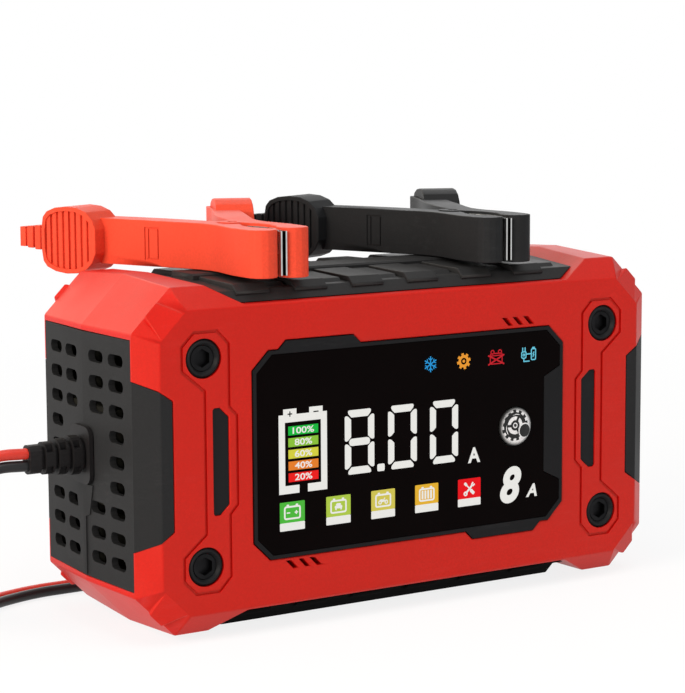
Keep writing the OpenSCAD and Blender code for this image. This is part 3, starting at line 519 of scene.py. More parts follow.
def crowded(edge, reach):
    """True where a bevel of this reach would run into another edge of a face."""
    one, two = (v.co for v in edge.verts)
    for face in edge.link_faces:
        for other in face.edges:
            if set(other.verts) & set(edge.verts):
                continue
            a, b = (v.co for v in other.verts)
            for step in range(11):
                spot = one.lerp(two, step / 10)
                share = intersect_point_line(spot, a, b)[1]
                if (a.lerp(b, min(1.0, max(0.0, share))) - spot).length < reach:
                    return True
    return False


def softened(node_name, name, material, width=0.3 * MM, kept=()):
    """A welded copy of a CAD node with its long sharp edges rounded, in the node's
    place. Edges inside the kept boxes stay sharp."""
    piece = joined(name, [linked(name, NODES[node_name].data.copy())])
    open_mesh(piece, "VERT", "SELECT")
    bpy.ops.mesh.remove_doubles(threshold=0.000002)
    bpy.ops.mesh.dissolve_limited(angle_limit=math.radians(0.6))
    bpy.ops.mesh.select_mode(type="EDGE")
    bpy.ops.mesh.select_all(action="DESELECT")
    cage = bmesh.from_edit_mesh(piece.data)

    def wanted(edge):
        if len(edge.link_faces) != 2 or edge.calc_length() < LEAST_EDGE:
            return False
        if not edge.is_convex or edge.calc_face_angle(0.0) < SOFT_FROM:
            return False
        middle = (edge.verts[0].co + edge.verts[1].co) / 2
        if any(all(low <= value <= high for low, value, high in zip(a, middle, b))
               for a, b in kept):
            return False
        around = [e for v in edge.verts for e in v.link_edges if e is not edge]
        return (all(e.calc_length() > 2.2 * width for e in around)
                and not crowded(edge, 1.1 * width))

    for edge in cage.edges:
        edge.smooth = edge.calc_face_angle(0.0) < CRISP_FROM or wanted(edge)
    pick(piece, cage.edges, wanted)
    bpy.ops.mesh.bevel(offset=width, segments=2, profile=0.5, affect="EDGES",
                       clamp_overlap=False, loop_slide=False)
    bpy.ops.mesh.select_all(action="SELECT")
    bpy.ops.mesh.faces_shade_smooth()
    close_mesh()
    give(piece, material)
    finish_modifier(piece, "WEIGHTED_NORMAL", keep_sharp=True, weight=90)
    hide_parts(node_name)
    return attach(piece, BODY_OF[node_name])


# ----- flat figures

# Millimetres along the depth: the window's front, and where figures start inside it
WINDOW_FRONT, FIGURE_BACK = -32.6, -32.55
LAYER_RISE = 0.03
UPRIGHT = (math.pi / 2, 0, 0)       # turns a flat shape to face the front


def figure_front(layer):
    return WINDOW_FRONT - settings()[1].print_proud / MM - layer * LAYER_RISE


def slab(x, z, wide, high, cut=0.0, steps=1, layer=0, turn=0.0, inner=None):
    """A thin upright plate, its corners cut or rounded. With inner, only the corners
    on that side are cut and the others are rounded a little."""
    front = figure_front(layer)
    piece = settle(start(
        bpy.ops.mesh.primitive_cube_add, size=MM,
        location=(x * MM, (front + FIGURE_BACK) / 2 * MM, z * MM),
        scale=(wide, FIGURE_BACK - front, high)))
    middle = Vector((x, 0, z)) * MM

    def cut_corners(side, offset, segments):
        def is_corner(edge):
            one, two = (v.co for v in edge.verts)
            if abs(one.y - two.y) < 0.9 * (two - one).length:
                return False
            return side is None or side.dot((one + two) / 2 - middle) > 0
        shape_edges(piece, is_corner, bpy.ops.mesh.bevel, offset=offset * MM,
                    segments=segments, affect="EDGES")

    if inner is not None:
        cut_corners(Vector(inner), cut, 1)
        cut_corners(-Vector(inner), cut * 0.4, 2)
    elif cut:
        cut_corners(None, cut, steps)
    return turned(piece, turn, middle) if turn else piece


def stroke(x1, z1, x2, z2, wide, cut=0.0, steps=1, layer=0):
    """A slab from one point to another."""
    long = math.hypot(x2 - x1, z2 - z1)
    turn = math.degrees(math.atan2(z2 - z1, x2 - x1))
    return slab((x1 + x2) / 2, (z1 + z2) / 2, long, wide, cut, steps, layer, turn)


def sheet_disc(x, z, radius, sides=48, hole=0.0, y=FIGURE_BACK):
    """A flat disc or ring that faces the front, still without thickness."""
    piece = settle(start(
        bpy.ops.mesh.primitive_circle_add, vertices=sides, radius=radius * MM,
        fill_type="NGON" if hole else "TRIFAN", location=(x * MM, y * MM, z * MM),
        rotation=UPRIGHT))
    if hole:
        open_mesh(piece, action="SELECT")
        bpy.ops.mesh.inset(thickness=(radius - hole) * MM)
        bpy.ops.mesh.delete(type="FACE")
        close_mesh()
    return piece


def toothed(x, z, root, tip, teeth, hole, y=FIGURE_BACK):
    """A flat ring with teeth round it, two of every four rim edges drawn out."""
    piece = sheet_disc(x, z, root, teeth * 4, hole, y)
    middle = Vector((x, y, z)) * MM
    cage = open_mesh(piece, "EDGE")

    def on_tooth(edge):
        one, two = (v.co - middle for v in edge.verts)
        if min(one.length, two.length) < (root - 0.01) * MM:
            return False
        half = (one + two) / 2
        index = int((math.atan2(half.z, half.x) % math.tau) / math.tau * teeth * 4)
        return index % 4 < 2

    pick(piece, cage.edges, on_tooth)
    bpy.ops.mesh.extrude_region_move()
    grow = tip / root
    bpy.ops.transform.resize(value=(grow, 1, grow), center_override=middle)
    close_mesh()
    return piece


def thick(piece, layer=0):
    """Gives a flat figure its thickness, out of the window."""
    deep = (FIGURE_BACK - figure_front(layer)) * MM
    return finish_modifier(piece, "SOLIDIFY", thickness=deep, offset=1.0)


def disc(x, z, radius, hole=0.0, sides=48, layer=0):
    return thick(sheet_disc(x, z, radius, sides, hole), layer)


def frame_of(x, z, wide, high, line, cut, layer=0):
    """A rounded outline made of a slab with its middle taken out."""
    piece = slab(x, z, wide, high, cut, 3, layer)
    cage = open_mesh(piece)
    pick(piece, cage.faces, lambda face: abs(face.normal.y) > 0.9)
    bpy.ops.mesh.inset(thickness=line * MM)
    bpy.ops.mesh.bridge_edge_loops()
    close_mesh()
    return piece


def corners(piece):
    """The lowest and the highest corner of a piece."""
    places = [v.co for v in piece.data.vertices]
    return [Vector(map(end, *places)) for end in (min, max)]


def figure(body, x, z, wide, high, bold=0.0, slant=0.0, layer=0):
    """A numeral or unit letter, fitted to a width and a height."""
    letters = start(bpy.ops.object.text_add, rotation=UPRIGHT)
    put(letters.data, body=body, size=0.01, offset=bold, shear=slant, extrude=0.0001,
        resolution_u=6)
    bpy.ops.object.convert(target="MESH")
    piece = settle(bpy.context.object)
    low, top = corners(piece)
    size = top - low
    front = figure_front(layer)
    piece.scale = (wide * MM / size.x, (FIGURE_BACK - front) * MM / size.y,
                   high * MM / size.z)
    low, top = corners(settle(piece))
    piece.location = (Vector((x, (front + FIGURE_BACK) / 2, z)) * MM - (low + top) / 2)
    settle(piece)
    open_mesh(piece, "VERT", "SELECT")
    bpy.ops.mesh.remove_doubles(threshold=0.0000005)
    bpy.ops.mesh.normals_make_consistent(inside=False)
    close_mesh()
    return piece


def drawn(rows, x=0.0, z=0.0, layer=0):
    """Makes the flat figures in these rows, their places counted from x and z."""
    made = []
    for maker, *values in rows:
        shifts = (x, z, x, z) if maker is stroke else (x, z)
        placed = [value + shift for value, shift in zip(values, shifts)]
        made.append(maker(*placed, *values[len(shifts):], layer=layer))
    return made


def seven_segments(x, z, wide, high, line, middle_bar):
    """One figure of the large read-out, low left corner at x and z."""
    inset, gap, cut, end = 1.1, 0.8, 1.15, 1.6
    tall = (high - 2 * end - gap) / 2
    across = wide - 2 * inset
    centre_x, centre_z = x + wide / 2, z + high / 2
    made = [
        slab(centre_x, z + high - line / 2, across, line, cut, inner=(0, 0, -1)),
        slab(centre_x, z + line / 2, across, line, cut, inner=(0, 0, 1))]
    for side_x, inward in ((x + line / 2, 1), (x + wide - line / 2, -1)):
        for level in (1, -1):
            made.append(slab(side_x, centre_z + level * (gap + tall) / 2, line, tall,
                             cut, inner=(inward, 0, 0)))
    if middle_bar:
        made.append(slab(centre_x, centre_z, across - 0.7, line, 0.9, 2))
    return made


# ----- camera and stage

class CHARGER_OT_camera(bpy.types.Operator):
    """Stands the camera where it shows the front, the left end and the top"""

    bl_idname = "charger.camera"
    bl_label = "Camera"

    def execute(self, context):
        view = context.scene.charger_view
        lens = bpy.data.cameras.new("camera")
        put(lens, lens=view.lens, sensor_width=36.0, clip_start=0.01, clip_end=20.0)
        camera = linked("camera", lens)
        put(camera, location=view.place, rotation_euler=view.turn)
        context.scene.camera = camera
        return {"FINISHED"}


LAMPS_AIM_AT = Vector((0, 0, 0.055))
# Each lamp's name, place, size, power and tone, and whether it lights matt surfaces
LAMPS = (
    ("key_lamp", (-1.35, -0.30, 0.58), 0.8, 20.0, (1.0, 0.91, 0.80), True),
    ("top_lamp", (0.05, -0.45, 1.4), 0.9, 7.0, (1, 1, 1), True),
    ("rim_lamp", (-0.31, 1.12, 0.87), 1.4, 8.5, (1.0, 0.88, 0.62), False),
    ("back_lamp", (0.75, 1.2, 0.42), 1.2, 4.5, (1, 1, 1), False))


def straight_look(tree):
    """Whether the camera, metal or glass looks straight at this surface."""
    path = tree.nodes.new("ShaderNodeLightPath").outputs
    return sums(tree, "MAXIMUM", path["Is Camera Ray"],
                sums(tree, "MAXIMUM", path["Is Glossy Ray"],
                     path["Is Transmission Ray"]))


class CHARGER_OT_stage(bpy.types.Operator):
    """Lays the floor and sets plain soft studio light"""

    bl_idname = "charger.stage"
    bl_label = "Stage"

    def execute(self, context):
        scene = context.scene
        scene.view_settings.view_transform = "Standard"
        floor = start(bpy.ops.mesh.primitive_plane_add, size=12.0, location=(0, 0, 0))
        floor.name = "floor"
        material, tree, shader, place = new_material("floor_white")
        soft = mixed(tree, noise(tree, place, 3.0, 2.0), (0.93,) * 3, (0.95,) * 3)
        wire(tree, shader, {
            "Base Color": soft, "Roughness": 0.9, "Specular IOR Level": 0.0})
        # What looks straight at the floor sees it fade to white
        fade = ramp(tree, vector(tree, "LENGTH", place), 0.20, 0.60, 0.84, 1.0)
        seen = sums(tree, "MULTIPLY", straight_look(tree), fade)
        glow = add(tree, "Emission").outputs[0]
        surface = add(tree, "MixShader", {0: seen, 1: shader.outputs[0], 2: glow})
        tree.links.new(surface.outputs[0], tree.nodes["Material Output"].inputs[0])
        material.cycles.emission_sampling = "NONE"
        give(floor, material)

        world = scene.world = bpy.data.worlds.new("studio")
        world.cycles.sampling_method = "NONE"
        world.use_nodes = True
        tree = world.node_tree
        light = sums(tree, "MAXIMUM", straight_look(tree),
                     scene.charger_view.room_light)
        wire(tree, tree.nodes["Background"], {"Color": (1, 1, 1), "Strength": light})

        for name, place, size, power, tone, lights_matt in LAMPS:
            lamp = bpy.data.lights.new(name, "AREA")
            put(lamp, size=size, energy=power, color=tone)
            aim = LAMPS_AIM_AT - Vector(place)
            put(linked(name, lamp), location=place, visible_diffuse=lights_matt,
                rotation_euler=aim.to_track_quat("-Z", "Y").to_euler())
        return {"FINISHED"}


# ----- housing and armour

SEAM_HALF = 0.2 * MM
POCKET_HALF_LENGTH = 70.0 * MM
# Depths and heights in metres of the armour pockets' rims
RIM_DEPTHS = ((-0.0325, -0.0315), (0.0315, 0.0325))
RIM_HEIGHTS = ((0.0073, 0.0078), (0.0932, 0.0937))


class CHARGER_OT_housing(bpy.types.Operator):
    """Softens the two red half shells"""

    bl_idname = "charger.housing"
    bl_label = "Housing"

    def execute(self, context):
        tones, sizes, _ = settings()
        # The shells' insides get near black painted shade, seen through the vents
        red = moulded("housing_red", tones.housing, rough=0.44, specular=0.28,
                      inside_shade=(0.006,) * 3, sheen=(1.0, 0.96, 0.66))
        # The seam and the rims of the armour pockets stay sharp
        kept = [((-1, -SEAM_HALF, -1), (1, SEAM_HALF, 1))]
        kept += [((-POCKET_HALF_LENGTH, near, low), (POCKET_HALF_LENGTH, far, high))
                 for near, far in RIM_DEPTHS for low, high in RIM_HEIGHTS]
        for side in ("front", "rear"):
            softened(side + "_shell", side + "_housing", red,
                     sizes.soft_edge, kept)
        return {"FINISHED"}


# In millimetres: a rail's middle and size, its end cut, and how far its foot leans in
RAIL_DEPTH, RAIL_HEIGHT, RAIL_SIZE = 21.0, 3.6, (121.0, 8.4, 5.3)
RAIL_CUT, RAIL_LEAN = 3.0, 5.2


def base_rail(side):
    """A rail along one side of the base armour, closing the gaps between its plates.
    Its face leans with the plates' ends."""
    piece = settle(start(
        bpy.ops.mesh.primitive_cube_add, size=MM, scale=RAIL_SIZE,
        location=(0, side * RAIL_DEPTH * MM, RAIL_HEIGHT * MM)))

    def at_outer_end(edge):
        x, y, _ = (edge.verts[0].co + edge.verts[1].co) / 2
        return side * y > 25.0 * MM and abs(x) > 60.0 * MM

    def at_outer_foot(edge):
        _, y, z = (edge.verts[0].co + edge.verts[1].co) / 2
        return side * y > 21.5 * MM and z < 1.5 * MM

    shape_edges(piece, at_outer_end, bpy.ops.mesh.bevel, offset=RAIL_CUT * MM,
                segments=1, affect="EDGES")
    shape_edges(piece, at_outer_foot, bpy.ops.transform.translate,
                value=(0, -side * RAIL_LEAN * MM, 0))
    return piece


class CHARGER_OT_armour(bpy.types.Operator):
    """Softens the black armour panels and the vented ends"""

    bl_idname = "charger.armour"
    bl_label = "Armour and ends"

    def execute(self, context):
        tones, _, _ = settings()
        black = moulded("armour_black", tones.armour, rough=0.5, grain=0.8,
                        specular=0.10)
        grey = moulded("panel_grey", tones.panel, rough=0.48, grain=0.9, specular=0.05)
        # A darker copy of the black plastic: painted shade for the base armour and its
        # rails along the foot
        matt = moulded("base_black", (0.0035,) * 3, rough=0.62, grain=0.8,
                       specular=0.01, rubbed_rise=0.01)
        softened("top_armour", "top_armour_panel", black)
        softened("base_armour", "base_armour_panel", matt)
        for side in ("left", "right"):
            softened(side + "_end_panel", side + "_vent_panel", grey)
        rails = joined("base_rails", [base_rail(-1), base_rail(1)])
        attach(give(rails, matt), "charger")
        return {"FINISHED"}


class CHARGER_OT_trim(bpy.types.Operator):
    """Finishes inserts, collars, screws, bezel and glands"""

    bl_idname = "charger.trim"
    bl_label = "Trim"

    def execute(self, context):
        black = (0.010, 0.010, 0.011)
        insert = moulded("insert_black", black, rough=0.5, specular=0.10)
        bezel = moulded("bezel_black", black, rough=0.36, specular=0.08)
        screw = metal("screw_black_oxide", (0.016, 0.016, 0.017), rough=0.38)
        rubber = moulded("gland_rubber", (0.012, 0.011, 0.0115), rough=0.42,
                         grain=0.6, specular=0.12)
        for name, finish in (
                ("slot_inserts", insert), ("screw_collars", insert),
                ("housing_screws", screw), ("display_bezel", bezel),
                ("strain_relief", rubber), ("mains_gland", rubber)):
            finish_node(name, finish)
        return {"FINISHED"}


# ----- display

# In millimetres: each bar's tone, numerals and their width, then sizes and places
CHARGE_BARS = (
    ("green", "100%", 7.0), ("lime", "80%", 5.7), ("yellow", "60%", 5.7),
    ("orange", "40%", 5.7), ("red", "20%", 5.7))
CHARGE_TOP, CHARGE_PITCH, CHARGE_X = 56.95, 3.327, -37.6
BAR_SIZE, NUMERAL_HIGH = (9.8, 2.54), 1.85
# Each tile's tone and left edge, and the heights that all share
TILES = (
    ("leaf", -45.47), ("spring", -30.18), ("straw", -14.99), ("amber", 0.20),
    ("scarlet", 15.39))
TILE_WIDE, TILE_LOW, TILE_SPLIT, TILE_HIGH = 8.15, 28.55, 30.85, 36.78
TILE_GAP, SIGN_DROP = 0.02, 0.15
# Each large digit's left edge and whether its middle bar is lit, then what all share:
# low edge, width, height and line
DIGITS = ((-23.84, True), (-9.15, False), (5.43, False))
DIGIT = (42.37, 9.96, 18.6, 2.12)
# Middles of the small signs along the top
SNOW, SUN, FAULT, MAINS = (5.65, 71.95), (17.4, 71.9), (29.1, 72.1), (41.0, 71.9)

# The large battery sign, open at the foot, and its pole marks
BATTERY = (
    (slab, -44.6, 50.35, 2.0, 22.5), (slab, -30.8, 50.35, 2.0, 22.5),
    (slab, -37.7, 60.5, 11.8, 2.2), (slab, -41.95, 62.35, 4.3, 1.7),
    (slab, -33.4, 62.35, 4.4, 1.7), (slab, -41.3, 40.25, 4.6, 2.3),
    (slab, -34.0, 40.25, 4.4, 2.3))
POLE_MARKS = (
    (slab, -41.95, 61.75, 1.5, 0.34), (slab, -41.95, 61.75, 0.34, 1.5),
    (slab, -33.4, 61.75, 1.7, 0.34))

# The outline and two terminals that most tiles' signs stand in
SMALL_BATTERY = (
    (frame_of, 0, 0, 5.5, 3.9, 0.5, 0.7), (slab, -1.485, 2.15, 0.8, 0.5, 0.1, 1),
    (slab, 1.485, 2.15, 0.8, 0.5, 0.1, 1))

# The sign of each tile from left to right, counted from its middle
TILE_SIGNS = (
    (*SMALL_BATTERY, (slab, -1.3, 0, 1.1, 0.36), (slab, 1.3, 0, 1.1, 0.36),
     (slab, 1.3, 0, 0.36, 1.1)),
    (*SMALL_BATTERY, (slab, 0, 0.55, 1.7, 0.75, 0.3, 1),
     (slab, 0, -0.15, 2.5, 0.85, 0.25, 2), (slab, -0.85, -0.75, 0.5, 0.5, 0.1, 1),
     (slab, 0.85, -0.75, 0.5, 0.5, 0.1, 1)),
    (*SMALL_BATTERY, (disc, -1.05, -0.5, 0.62, 0.32, 20),
     (disc, 1.05, -0.5, 0.62, 0.32, 20), (stroke, -1.0, -0.2, 0.4, -0.1, 0.6, 0.2, 2),
     (stroke, 0.2, 0.1, 1.05, -0.4, 0.28), (stroke, 0.1, 0.1, 0.6, 0.75, 0.26),
     (stroke, -1.2, 0.15, -0.2, 0.25, 0.26)),
    (*SMALL_BATTERY, *((slab, shift, 0, 0.62, 2.5, 0.1, 1)
                       for shift in (-1.5, -0.5, 0.5, 1.5))),
    ((stroke, -1.35, 1.5, 0.5, -0.35, 0.38),
     (stroke, -1.75, 1.9, -0.9, 1.05, 0.85, 0.2, 1),
     (stroke, 0.35, -0.25, 1.7, -1.6, 1.0, 0.3, 2),
     (stroke, -1.3, -1.3, 1.1, 1.1, 0.6), (disc, -1.35, -1.35, 0.72, 0.30, 24),
     (stroke, 0.75, 1.15, 1.35, 1.9, 0.5, 0.1, 1),
     (stroke, 1.15, 0.75, 1.9, 1.35, 0.5, 0.1, 1)))

# A battery with its poles, and what lies over it
CROSSED_BATTERY = (
    (frame_of, 0, -0.35, 4.6, 3.4, 0.32, 0.6), (disc, -1.35, 1.6, 0.72, 0.40, 20),
    (disc, 1.35, 1.6, 0.72, 0.40, 20))
CROSS = (
    (stroke, -2.9, 0.7, 2.9, -2.1, 0.46), (stroke, 2.9, 0.7, -2.9, -2.1, 0.46),
    (slab, 0, 0.55, 4.4, 0.30))

# A plug with its lead, wired to a small battery
MAINS_SIGN = (
    (frame_of, -1.75, 0.1, 1.9, 2.2, 0.32, 0.5), (slab, -2.2, 1.75, 0.34, 1.2),
    (slab, -1.3, 1.75, 0.34, 1.2), (disc, -1.75, 0.1, 0.45, 0.18, 16),
    (slab, 0, 0.3, 1.7, 0.34), (slab, -1.75, -1.45, 0.34, 1.0),
    (slab, -0.75, -1.85, 2.2, 0.34), (frame_of, 1.8, 0.1, 1.9, 3.6, 0.34, 0.5),
    (slab, 1.8, 2.1, 0.9, 0.4), (stroke, 2.05, 0.85, 1.55, 0.05, 0.3),
    (stroke, 2.05, 0.15, 1.55, -0.7, 0.3))


def snow_crystal(x, z, radius):
    """Three crossed strokes with small arms near the ends."""
    made = []
    foot, arm = 0.50 * radius, 0.42 * radius
    for turn in range(0, 360, 60):
        a = math.radians(turn + 90)
        ax, az = math.cos(a), math.sin(a)
        made.append(stroke(x, z, x + radius * ax, z + radius * az, 0.34))
        for side in (-1, 1):
            b = a + side * math.radians(48)
            made.append(stroke(x + foot * ax, z + foot * az,
                               x + foot * ax + arm * math.cos(b),
                               z + foot * az + arm * math.sin(b), 0.26))
    return made


class CHARGER_OT_display(bpy.types.Operator):
    """Makes the window and the lit figures on it"""

    bl_idname = "charger.display"
    bl_label = "Display"

    def execute(self, context):
        tones, _, _ = settings()
        glass = window_glass(tones.window)
        finish_node("display_window", glass)
        white, dark = drawn(BATTERY), drawn(POLE_MARKS, layer=1)
        tinted = {}
        for row, (tone, numerals, wide) in enumerate(CHARGE_BARS):
            z = CHARGE_TOP - row * CHARGE_PITCH
            tinted[tone] = [slab(CHARGE_X, z, *BAR_SIZE)]
            white.append(figure(numerals, CHARGE_X, z, wide, NUMERAL_HIGH, 0.00015,
                                layer=1))
        for left, middle_bar in DIGITS:
            white += seven_segments(left, *DIGIT, middle_bar)
        white += [slab(-11.62, 43.4, 2.5, 2.15, 0.45, 3),
                  figure("A", 21.2, 43.65, 4.4, 4.57, 0.0003),
                  figure("8", 34.6, 33.2, 7.8, 11.1, 0.0004, 0.22),
                  figure("A", 42.35, 30.75, 4.1, 3.95, 0.0003, 0.22)]
        for (tone, left), sign in zip(TILES, TILE_SIGNS):
            x, z = left + TILE_WIDE / 2, (TILE_SPLIT + TILE_HIGH) / 2
            tinted[tone] = [slab(x, z, TILE_WIDE, TILE_HIGH - TILE_SPLIT, 0.25, 2)]
            white.append(slab(x, (TILE_LOW + TILE_SPLIT) / 2, TILE_WIDE,
                              TILE_SPLIT - TILE_LOW - TILE_GAP, 0.2, 2))
            white += drawn(sign, x, z - SIGN_DROP, layer=1)
        wheel = thick(toothed(*SUN, 1.85, 2.4, 8, 1.0))
        tinted["summer"] = [wheel, disc(*SUN, 0.45, sides=20)]
        tinted["fault"] = drawn(CROSSED_BATTERY, *FAULT) + drawn(CROSS, *FAULT, layer=1)
        tinted["blue"] = snow_crystal(*SNOW, 2.3)
        tinted["cyan"] = drawn(MAINS_SIGN, *MAINS)
        finishes = [("white", white, lit("lit_white", tones.figures)),
                    ("dark", dark, glass)]
        finishes += [(tone, made, lit("lit_" + tone, getattr(tones, tone)))
                     for tone, made in tinted.items()]
        for name, made, finish in finishes:
            piece = give(joined("figures_" + name, made), finish)
            attach(piece, "charger")
        return {"FINISHED"}


# ----- mode button

# In millimetres: where the button, its signs, the gear and the small disc stand
BUTTON_X, BUTTON_Z, SIGN_Y = 36.0, 50.8, -36.0
GEAR_X, GEAR_Z = BUTTON_X - 0.65, BUTTON_Z + 0.5
SPOT_X, SPOT_Z = BUTTON_X + 2.9, BUTTON_Z - 1.35
SPOKE, SPOKE_OUT = (1.7, 0.75, 1.0), 2.15


def laid_on_button(name, flat, rise, material):
    """Lays flat signs on the button's dome and gives them thickness."""
    piece = joined(name, flat)
    finish_modifier(
        piece, "SHRINKWRAP", target=NODES["mode_button"], wrap_method="PROJECT",
        use_project_y=True, use_negative_direction=True, use_positive_direction=True,
        offset=rise * MM)
    finish_modifier(piece, "SOLIDIFY", thickness=0.04 * MM, offset=0.0)
    return attach(give(piece, material), "mode_button")


class CHARGER_OT_mode_button(bpy.types.Operator):
    """Finishes the press button and its gear sign"""

    bl_idname = "charger.mode_button"
    bl_label = "Mode button"

    def execute(self, context):
        # The silver darkens towards the button's rim: painted shade where the dome
        # turns away
        silver = fading(moulded("button_silver", (0.82, 0.82, 0.83), rough=0.35,
                                grain=0.7), BUTTON_X, BUTTON_Z, 4.5, 5.6, (0.02,) * 3)
        black = moulded("button_print", (0.006, 0.006, 0.006), rough=0.4)
        finish_node("mode_button", silver)
        gear = [toothed(GEAR_X, GEAR_Z, 3.95, 4.7, 13, 2.7, SIGN_Y),
                sheet_disc(GEAR_X, GEAR_Z, 1.55, 40, 0.85, SIGN_Y),
                sheet_disc(GEAR_X, GEAR_Z, 0.48, 20, 0, SIGN_Y)]
        middle = Vector((GEAR_X, SIGN_Y, GEAR_Z)) * MM
        for turn in (62, 182, 302):
            spoke = start(
                bpy.ops.mesh.primitive_plane_add, size=MM, rotation=UPRIGHT,
                location=Vector((GEAR_X + SPOKE_OUT, SIGN_Y, GEAR_Z)) * MM)
            spoke.scale = SPOKE
            gear.append(turned(settle(spoke), turn, middle))
        laid_on_button("button_gear", gear, 0.02, black)
        for name, radius, rise, finish in (("button_spot_ground", 2.35, 0.05, silver),
                                           ("button_spot", 1.95, 0.09, black)):
            laid_on_button(name, [sheet_disc(SPOT_X, SPOT_Z, radius, 40, 0, SIGN_Y)],
                           rise, finish)
        return {"FINISHED"}


# ----- clamps and leads

STEEL = (0.62, 0.62, 0.61)


class CHARGER_OT_clamps(bpy.types.Operator):
    """Softens the clamp halves and finishes strips, pins and springs"""

    bl_idname = "charger.clamps"
    bl_label = "Clamps"

    def execute(self, context):
        tones, _, _ = settings()
        steel = metal("bright_steel", STEEL, rough=0.24)
        for side, tone, gloss, sheen, middle in (
                ("red", tones.clamp_red, 0.08, (1.0, 0.62, 0.48), -43.0),
                ("black", tones.clamp_black, 0.04, (1, 1, 1), 34.0)):
            plastic = moulded(side + "_clamp_plastic", tone, rough=0.46, grain=0.9,
                              specular=gloss, sheen=sheen)
            # Where the strips meet they are darkened with painted shade for the gap
            # between them
            strip = fading(metal(side + "_jaw_steel", STEEL, rough=0.24), middle, 0,
                           0.62, 0.50, (0.012,) * 3, axes=(1, 0, 0))
            for half in ("lead", "squeeze"):
                handle = side + "_" + half + "_handle"
                softened(handle, handle + "_soft", plastic)
                finish_node(side + "_" + half + "_jaw_strip", strip)
            for part in ("_pivot_pin", "_clamp_spring"):
                finish_node(side + part, steel)
        return {"FINISHED"}


# Each lead's way in millimetres, from its clamp handle to the relief on the left end.
# Both begin alike, the black one further along the housing
BEHIND_HANDLE = (
    (-17.870, 48.654, 106.8), (-15.309, 54.629, 106.8), (-12.749, 60.603, 106.8),
    (-9.6, 68, 104.6), (-7.3, 73.3, 98.7), (-6.4, 75.3, 90.6), (-6.2, 75.8, 81))
RED_START, RED_WAY = 0, (
    (-6, 76, 56), (-6, 76, 30), (-5.6, 76, 20.5), (-2.6, 76, 11.4), (3.6, 76, 4.6),
    (12, 75.4, 1.8), (21.4, 72.6, 1.8), (28.2, 66.2, 1.8), (30.4, 57.4, 1.8),
    (27, 49.2, 1.8), (19.4, 44.6, 1.8), (10, 43.8, 1.8), (-1, 43.8, 1.8),
    (-38, 43.8, 1.8), (-76, 43.8, 1.8), (-88, 43.2, 1.8), (-100, 40, 1.8),
    (-111.6, 34, 2), (-122, 25.4, 4.4), (-130, 15.4, 11), (-134.6, 6.6, 20.6),
    (-135.8, 1.4, 31), (-133.2, 0, 41), (-126.6, 0, 49.2), (-116.4, 0, 52.2),
    (-107.4, 0, 52.2))
BLACK_START, BLACK_WAY = 77, (
    (70.8, 75.8, 56), (70.6, 75.6, 30), (69.4, 74.4, 19.6), (64.8, 70.4, 9.8),
    (57.6, 64, 3.6), (48.8, 56.4, 1.8), (39.6, 49, 1.8), (29.4, 43, 1.8),
    (18, 40.2, 1.8), (6, 40, 1.8), (-36, 40, 1.8), (-76, 40, 1.8),
    (-87.6, 39.4, 1.8), (-98.8, 36.2, 1.8), (-109.4, 30.4, 2.2), (-119, 22, 5),
    (-126.2, 12.8, 11.6), (-130, 5, 20.6), (-130.8, 0.8, 30.2), (-128.8, 0, 38.8),
    (-123.8, 0, 45.6), (-116.4, 0, 48.8), (-107.4, 0, 48.8))


def smooth_way(points, steps=8):
    """A curve through every point, with even steps between two of them."""
    ends = [points[0] * 2 - points[1], *points, points[-1] * 2 - points[-2]]
    way = []
    for a, b, c, d in zip(ends, ends[1:], ends[2:], ends[3:]):
        for step in range(steps):
            t = step / steps
            way.append(0.5 * (2 * b + (c - a) * t + (2 * a - 5 * b + 4 * c - d) * t * t
                              + (3 * b - a - 3 * c + d) * t ** 3))
    return way + [points[-1]]


class CHARGER_OT_leads(bpy.types.Operator):
    """Lays the two output leads from their clamps to the left end"""

    bl_idname = "charger.leads"
    bl_label = "Leads"

    def execute(self, context):
        tones, sizes, _ = settings()
        for side, along, rest, tone in (
                ("red", RED_START, RED_WAY, tones.lead_red),
                ("black", BLACK_START, BLACK_WAY, tones.lead_black)):
            points = [(x + along, y, z) for x, y, z in BEHIND_HANDLE] + list(rest)
            way = smooth_way([Vector(p) * MM for p in reversed(points)])
            line = bpy.data.curves.new(side + "_output_lead", "CURVE")
            put(line, dimensions="3D", bevel_depth=sizes.lead_diameter / 2,
                bevel_resolution=sizes.lead_sides, use_fill_caps=True)
            spline = line.splines.new("POLY")
            spline.points.add(len(way) - 1)
            for point, place in zip(spline.points, way):
                point.co = (*place, 1.0)
            spline.use_smooth = True
            lead = linked(side + "_output_lead", line)
            give(lead, moulded(side + "_lead_sheath", tone, rough=0.36, grain=0.6,
                               depth=0.00003))
            attach(lead, "charger")
            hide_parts(side + "_lead")
            long = sum((b - a).length for a, b in zip(way, way[1:]))
            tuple(way[0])
        return {"FINISHED"}


# ----- electronics

# What is moulded inside: its node, its finish, tone, roughness and grain
MOULDED_INSIDE = (
    ("display_segments", "light_guide_white", (0.7, 0.7, 0.68), 0.3, 1.0),
    ("mode_switch", "switch_body", (0.1, 0.1, 0.1), 0.42, 1.0),
    ("transformer_core", "ferrite_grey", (0.035, 0.036, 0.04), 0.6, 1.6),
    ("input_capacitor", "capacitor_sleeve", (0.012, 0.014, 0.03), 0.3, 1.0),
    ("output_capacitors", "capacitor_blue", (0.02, 0.05, 0.3), 0.3, 1.0),
    ("power_transistors", "device_black", (0.012, 0.012, 0.012), 0.5, 1.0),
    ("fuse_holder", "fuse_body", (0.6, 0.55, 0.4), 0.3, 1.0),
    ("relay", "relay_blue", (0.02, 0.14, 0.42), 0.35, 1.0))


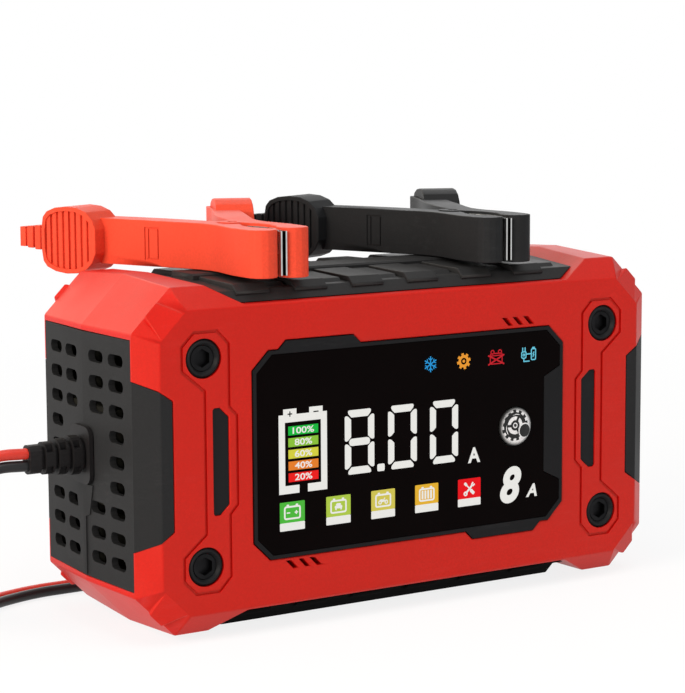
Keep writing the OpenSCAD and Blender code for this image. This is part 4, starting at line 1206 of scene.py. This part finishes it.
class CHARGER_OT_electronics(bpy.types.Operator):
    """Finishes the boards, wound parts and fan inside"""

    bl_idname = "charger.electronics"
    bl_label = "Electronics"

    def execute(self, context):
        board = circuit_board_finish()
        fan = moulded("fan_black", (0.012, 0.012, 0.013), rough=0.4)
        for name, finish, tone, rough, grain in MOULDED_INSIDE:
            finish_node(name, moulded(finish, tone, rough, grain))
        for name, finish in (
                ("main_board", board), ("display_board", board),
                ("board_screws", metal("zinc_screws", (0.55, 0.55, 0.56))),
                ("transformer_winding",
                 wound_wire("winding_tape", (0.62, 0.38, 0.03), 0.002)),
                ("choke", wound_wire("choke_wire", (0.75, 0.24, 0.07), 0.0008)),
                ("heat_sink", metal("bare_aluminium", (0.72, 0.73, 0.74), 0.35)),
                ("fan_frame", fan), ("fan_rotor", fan)):
            finish_node(name, finish)
        return {"FINISHED"}


# ----- add-on

OPERATORS = (CHARGER_OT_camera, CHARGER_OT_stage, CHARGER_OT_housing,
             CHARGER_OT_armour, CHARGER_OT_trim, CHARGER_OT_display,
             CHARGER_OT_mode_button, CHARGER_OT_clamps, CHARGER_OT_leads,
             CHARGER_OT_electronics)
SETTING_GROUPS = {"charger_sizes": ChargerSizes, "charger_colours": ChargerColours,
                  "charger_view": ChargerView}


class CHARGER_PT_panel(bpy.types.Panel):
    """Lists the charger's settings and makers in the sidebar"""

    bl_idname = "CHARGER_PT_panel"
    bl_label = "Battery charger"
    bl_space_type = "VIEW_3D"
    bl_region_type = "UI"
    bl_category = "Charger"

    def draw(self, context):
        for name in SETTING_GROUPS:
            group = getattr(context.scene, name)
            box = self.layout.box()
            for prop in group.bl_rna.properties:
                if prop.identifier not in ("rna_type", "name"):
                    box.prop(group, prop.identifier)
        for maker in OPERATORS:
            self.layout.operator(maker.bl_idname)


CLASSES = (*SETTING_GROUPS.values(), *OPERATORS, CHARGER_PT_panel)


def register():
    for item in CLASSES:
        bpy.utils.register_class(item)
    for name, group in SETTING_GROUPS.items():
        setattr(bpy.types.Scene, name, PointerProperty(type=group))


def unregister():
    for name in SETTING_GROUPS:
        delattr(bpy.types.Scene, name)
    for item in reversed(CLASSES):
        bpy.utils.unregister_class(item)


def main():
    register()
    for maker in OPERATORS:
        group, name = maker.bl_idname.split(".")
        getattr(getattr(bpy.ops, group), name)()


if __name__ == "__main__":
    main()
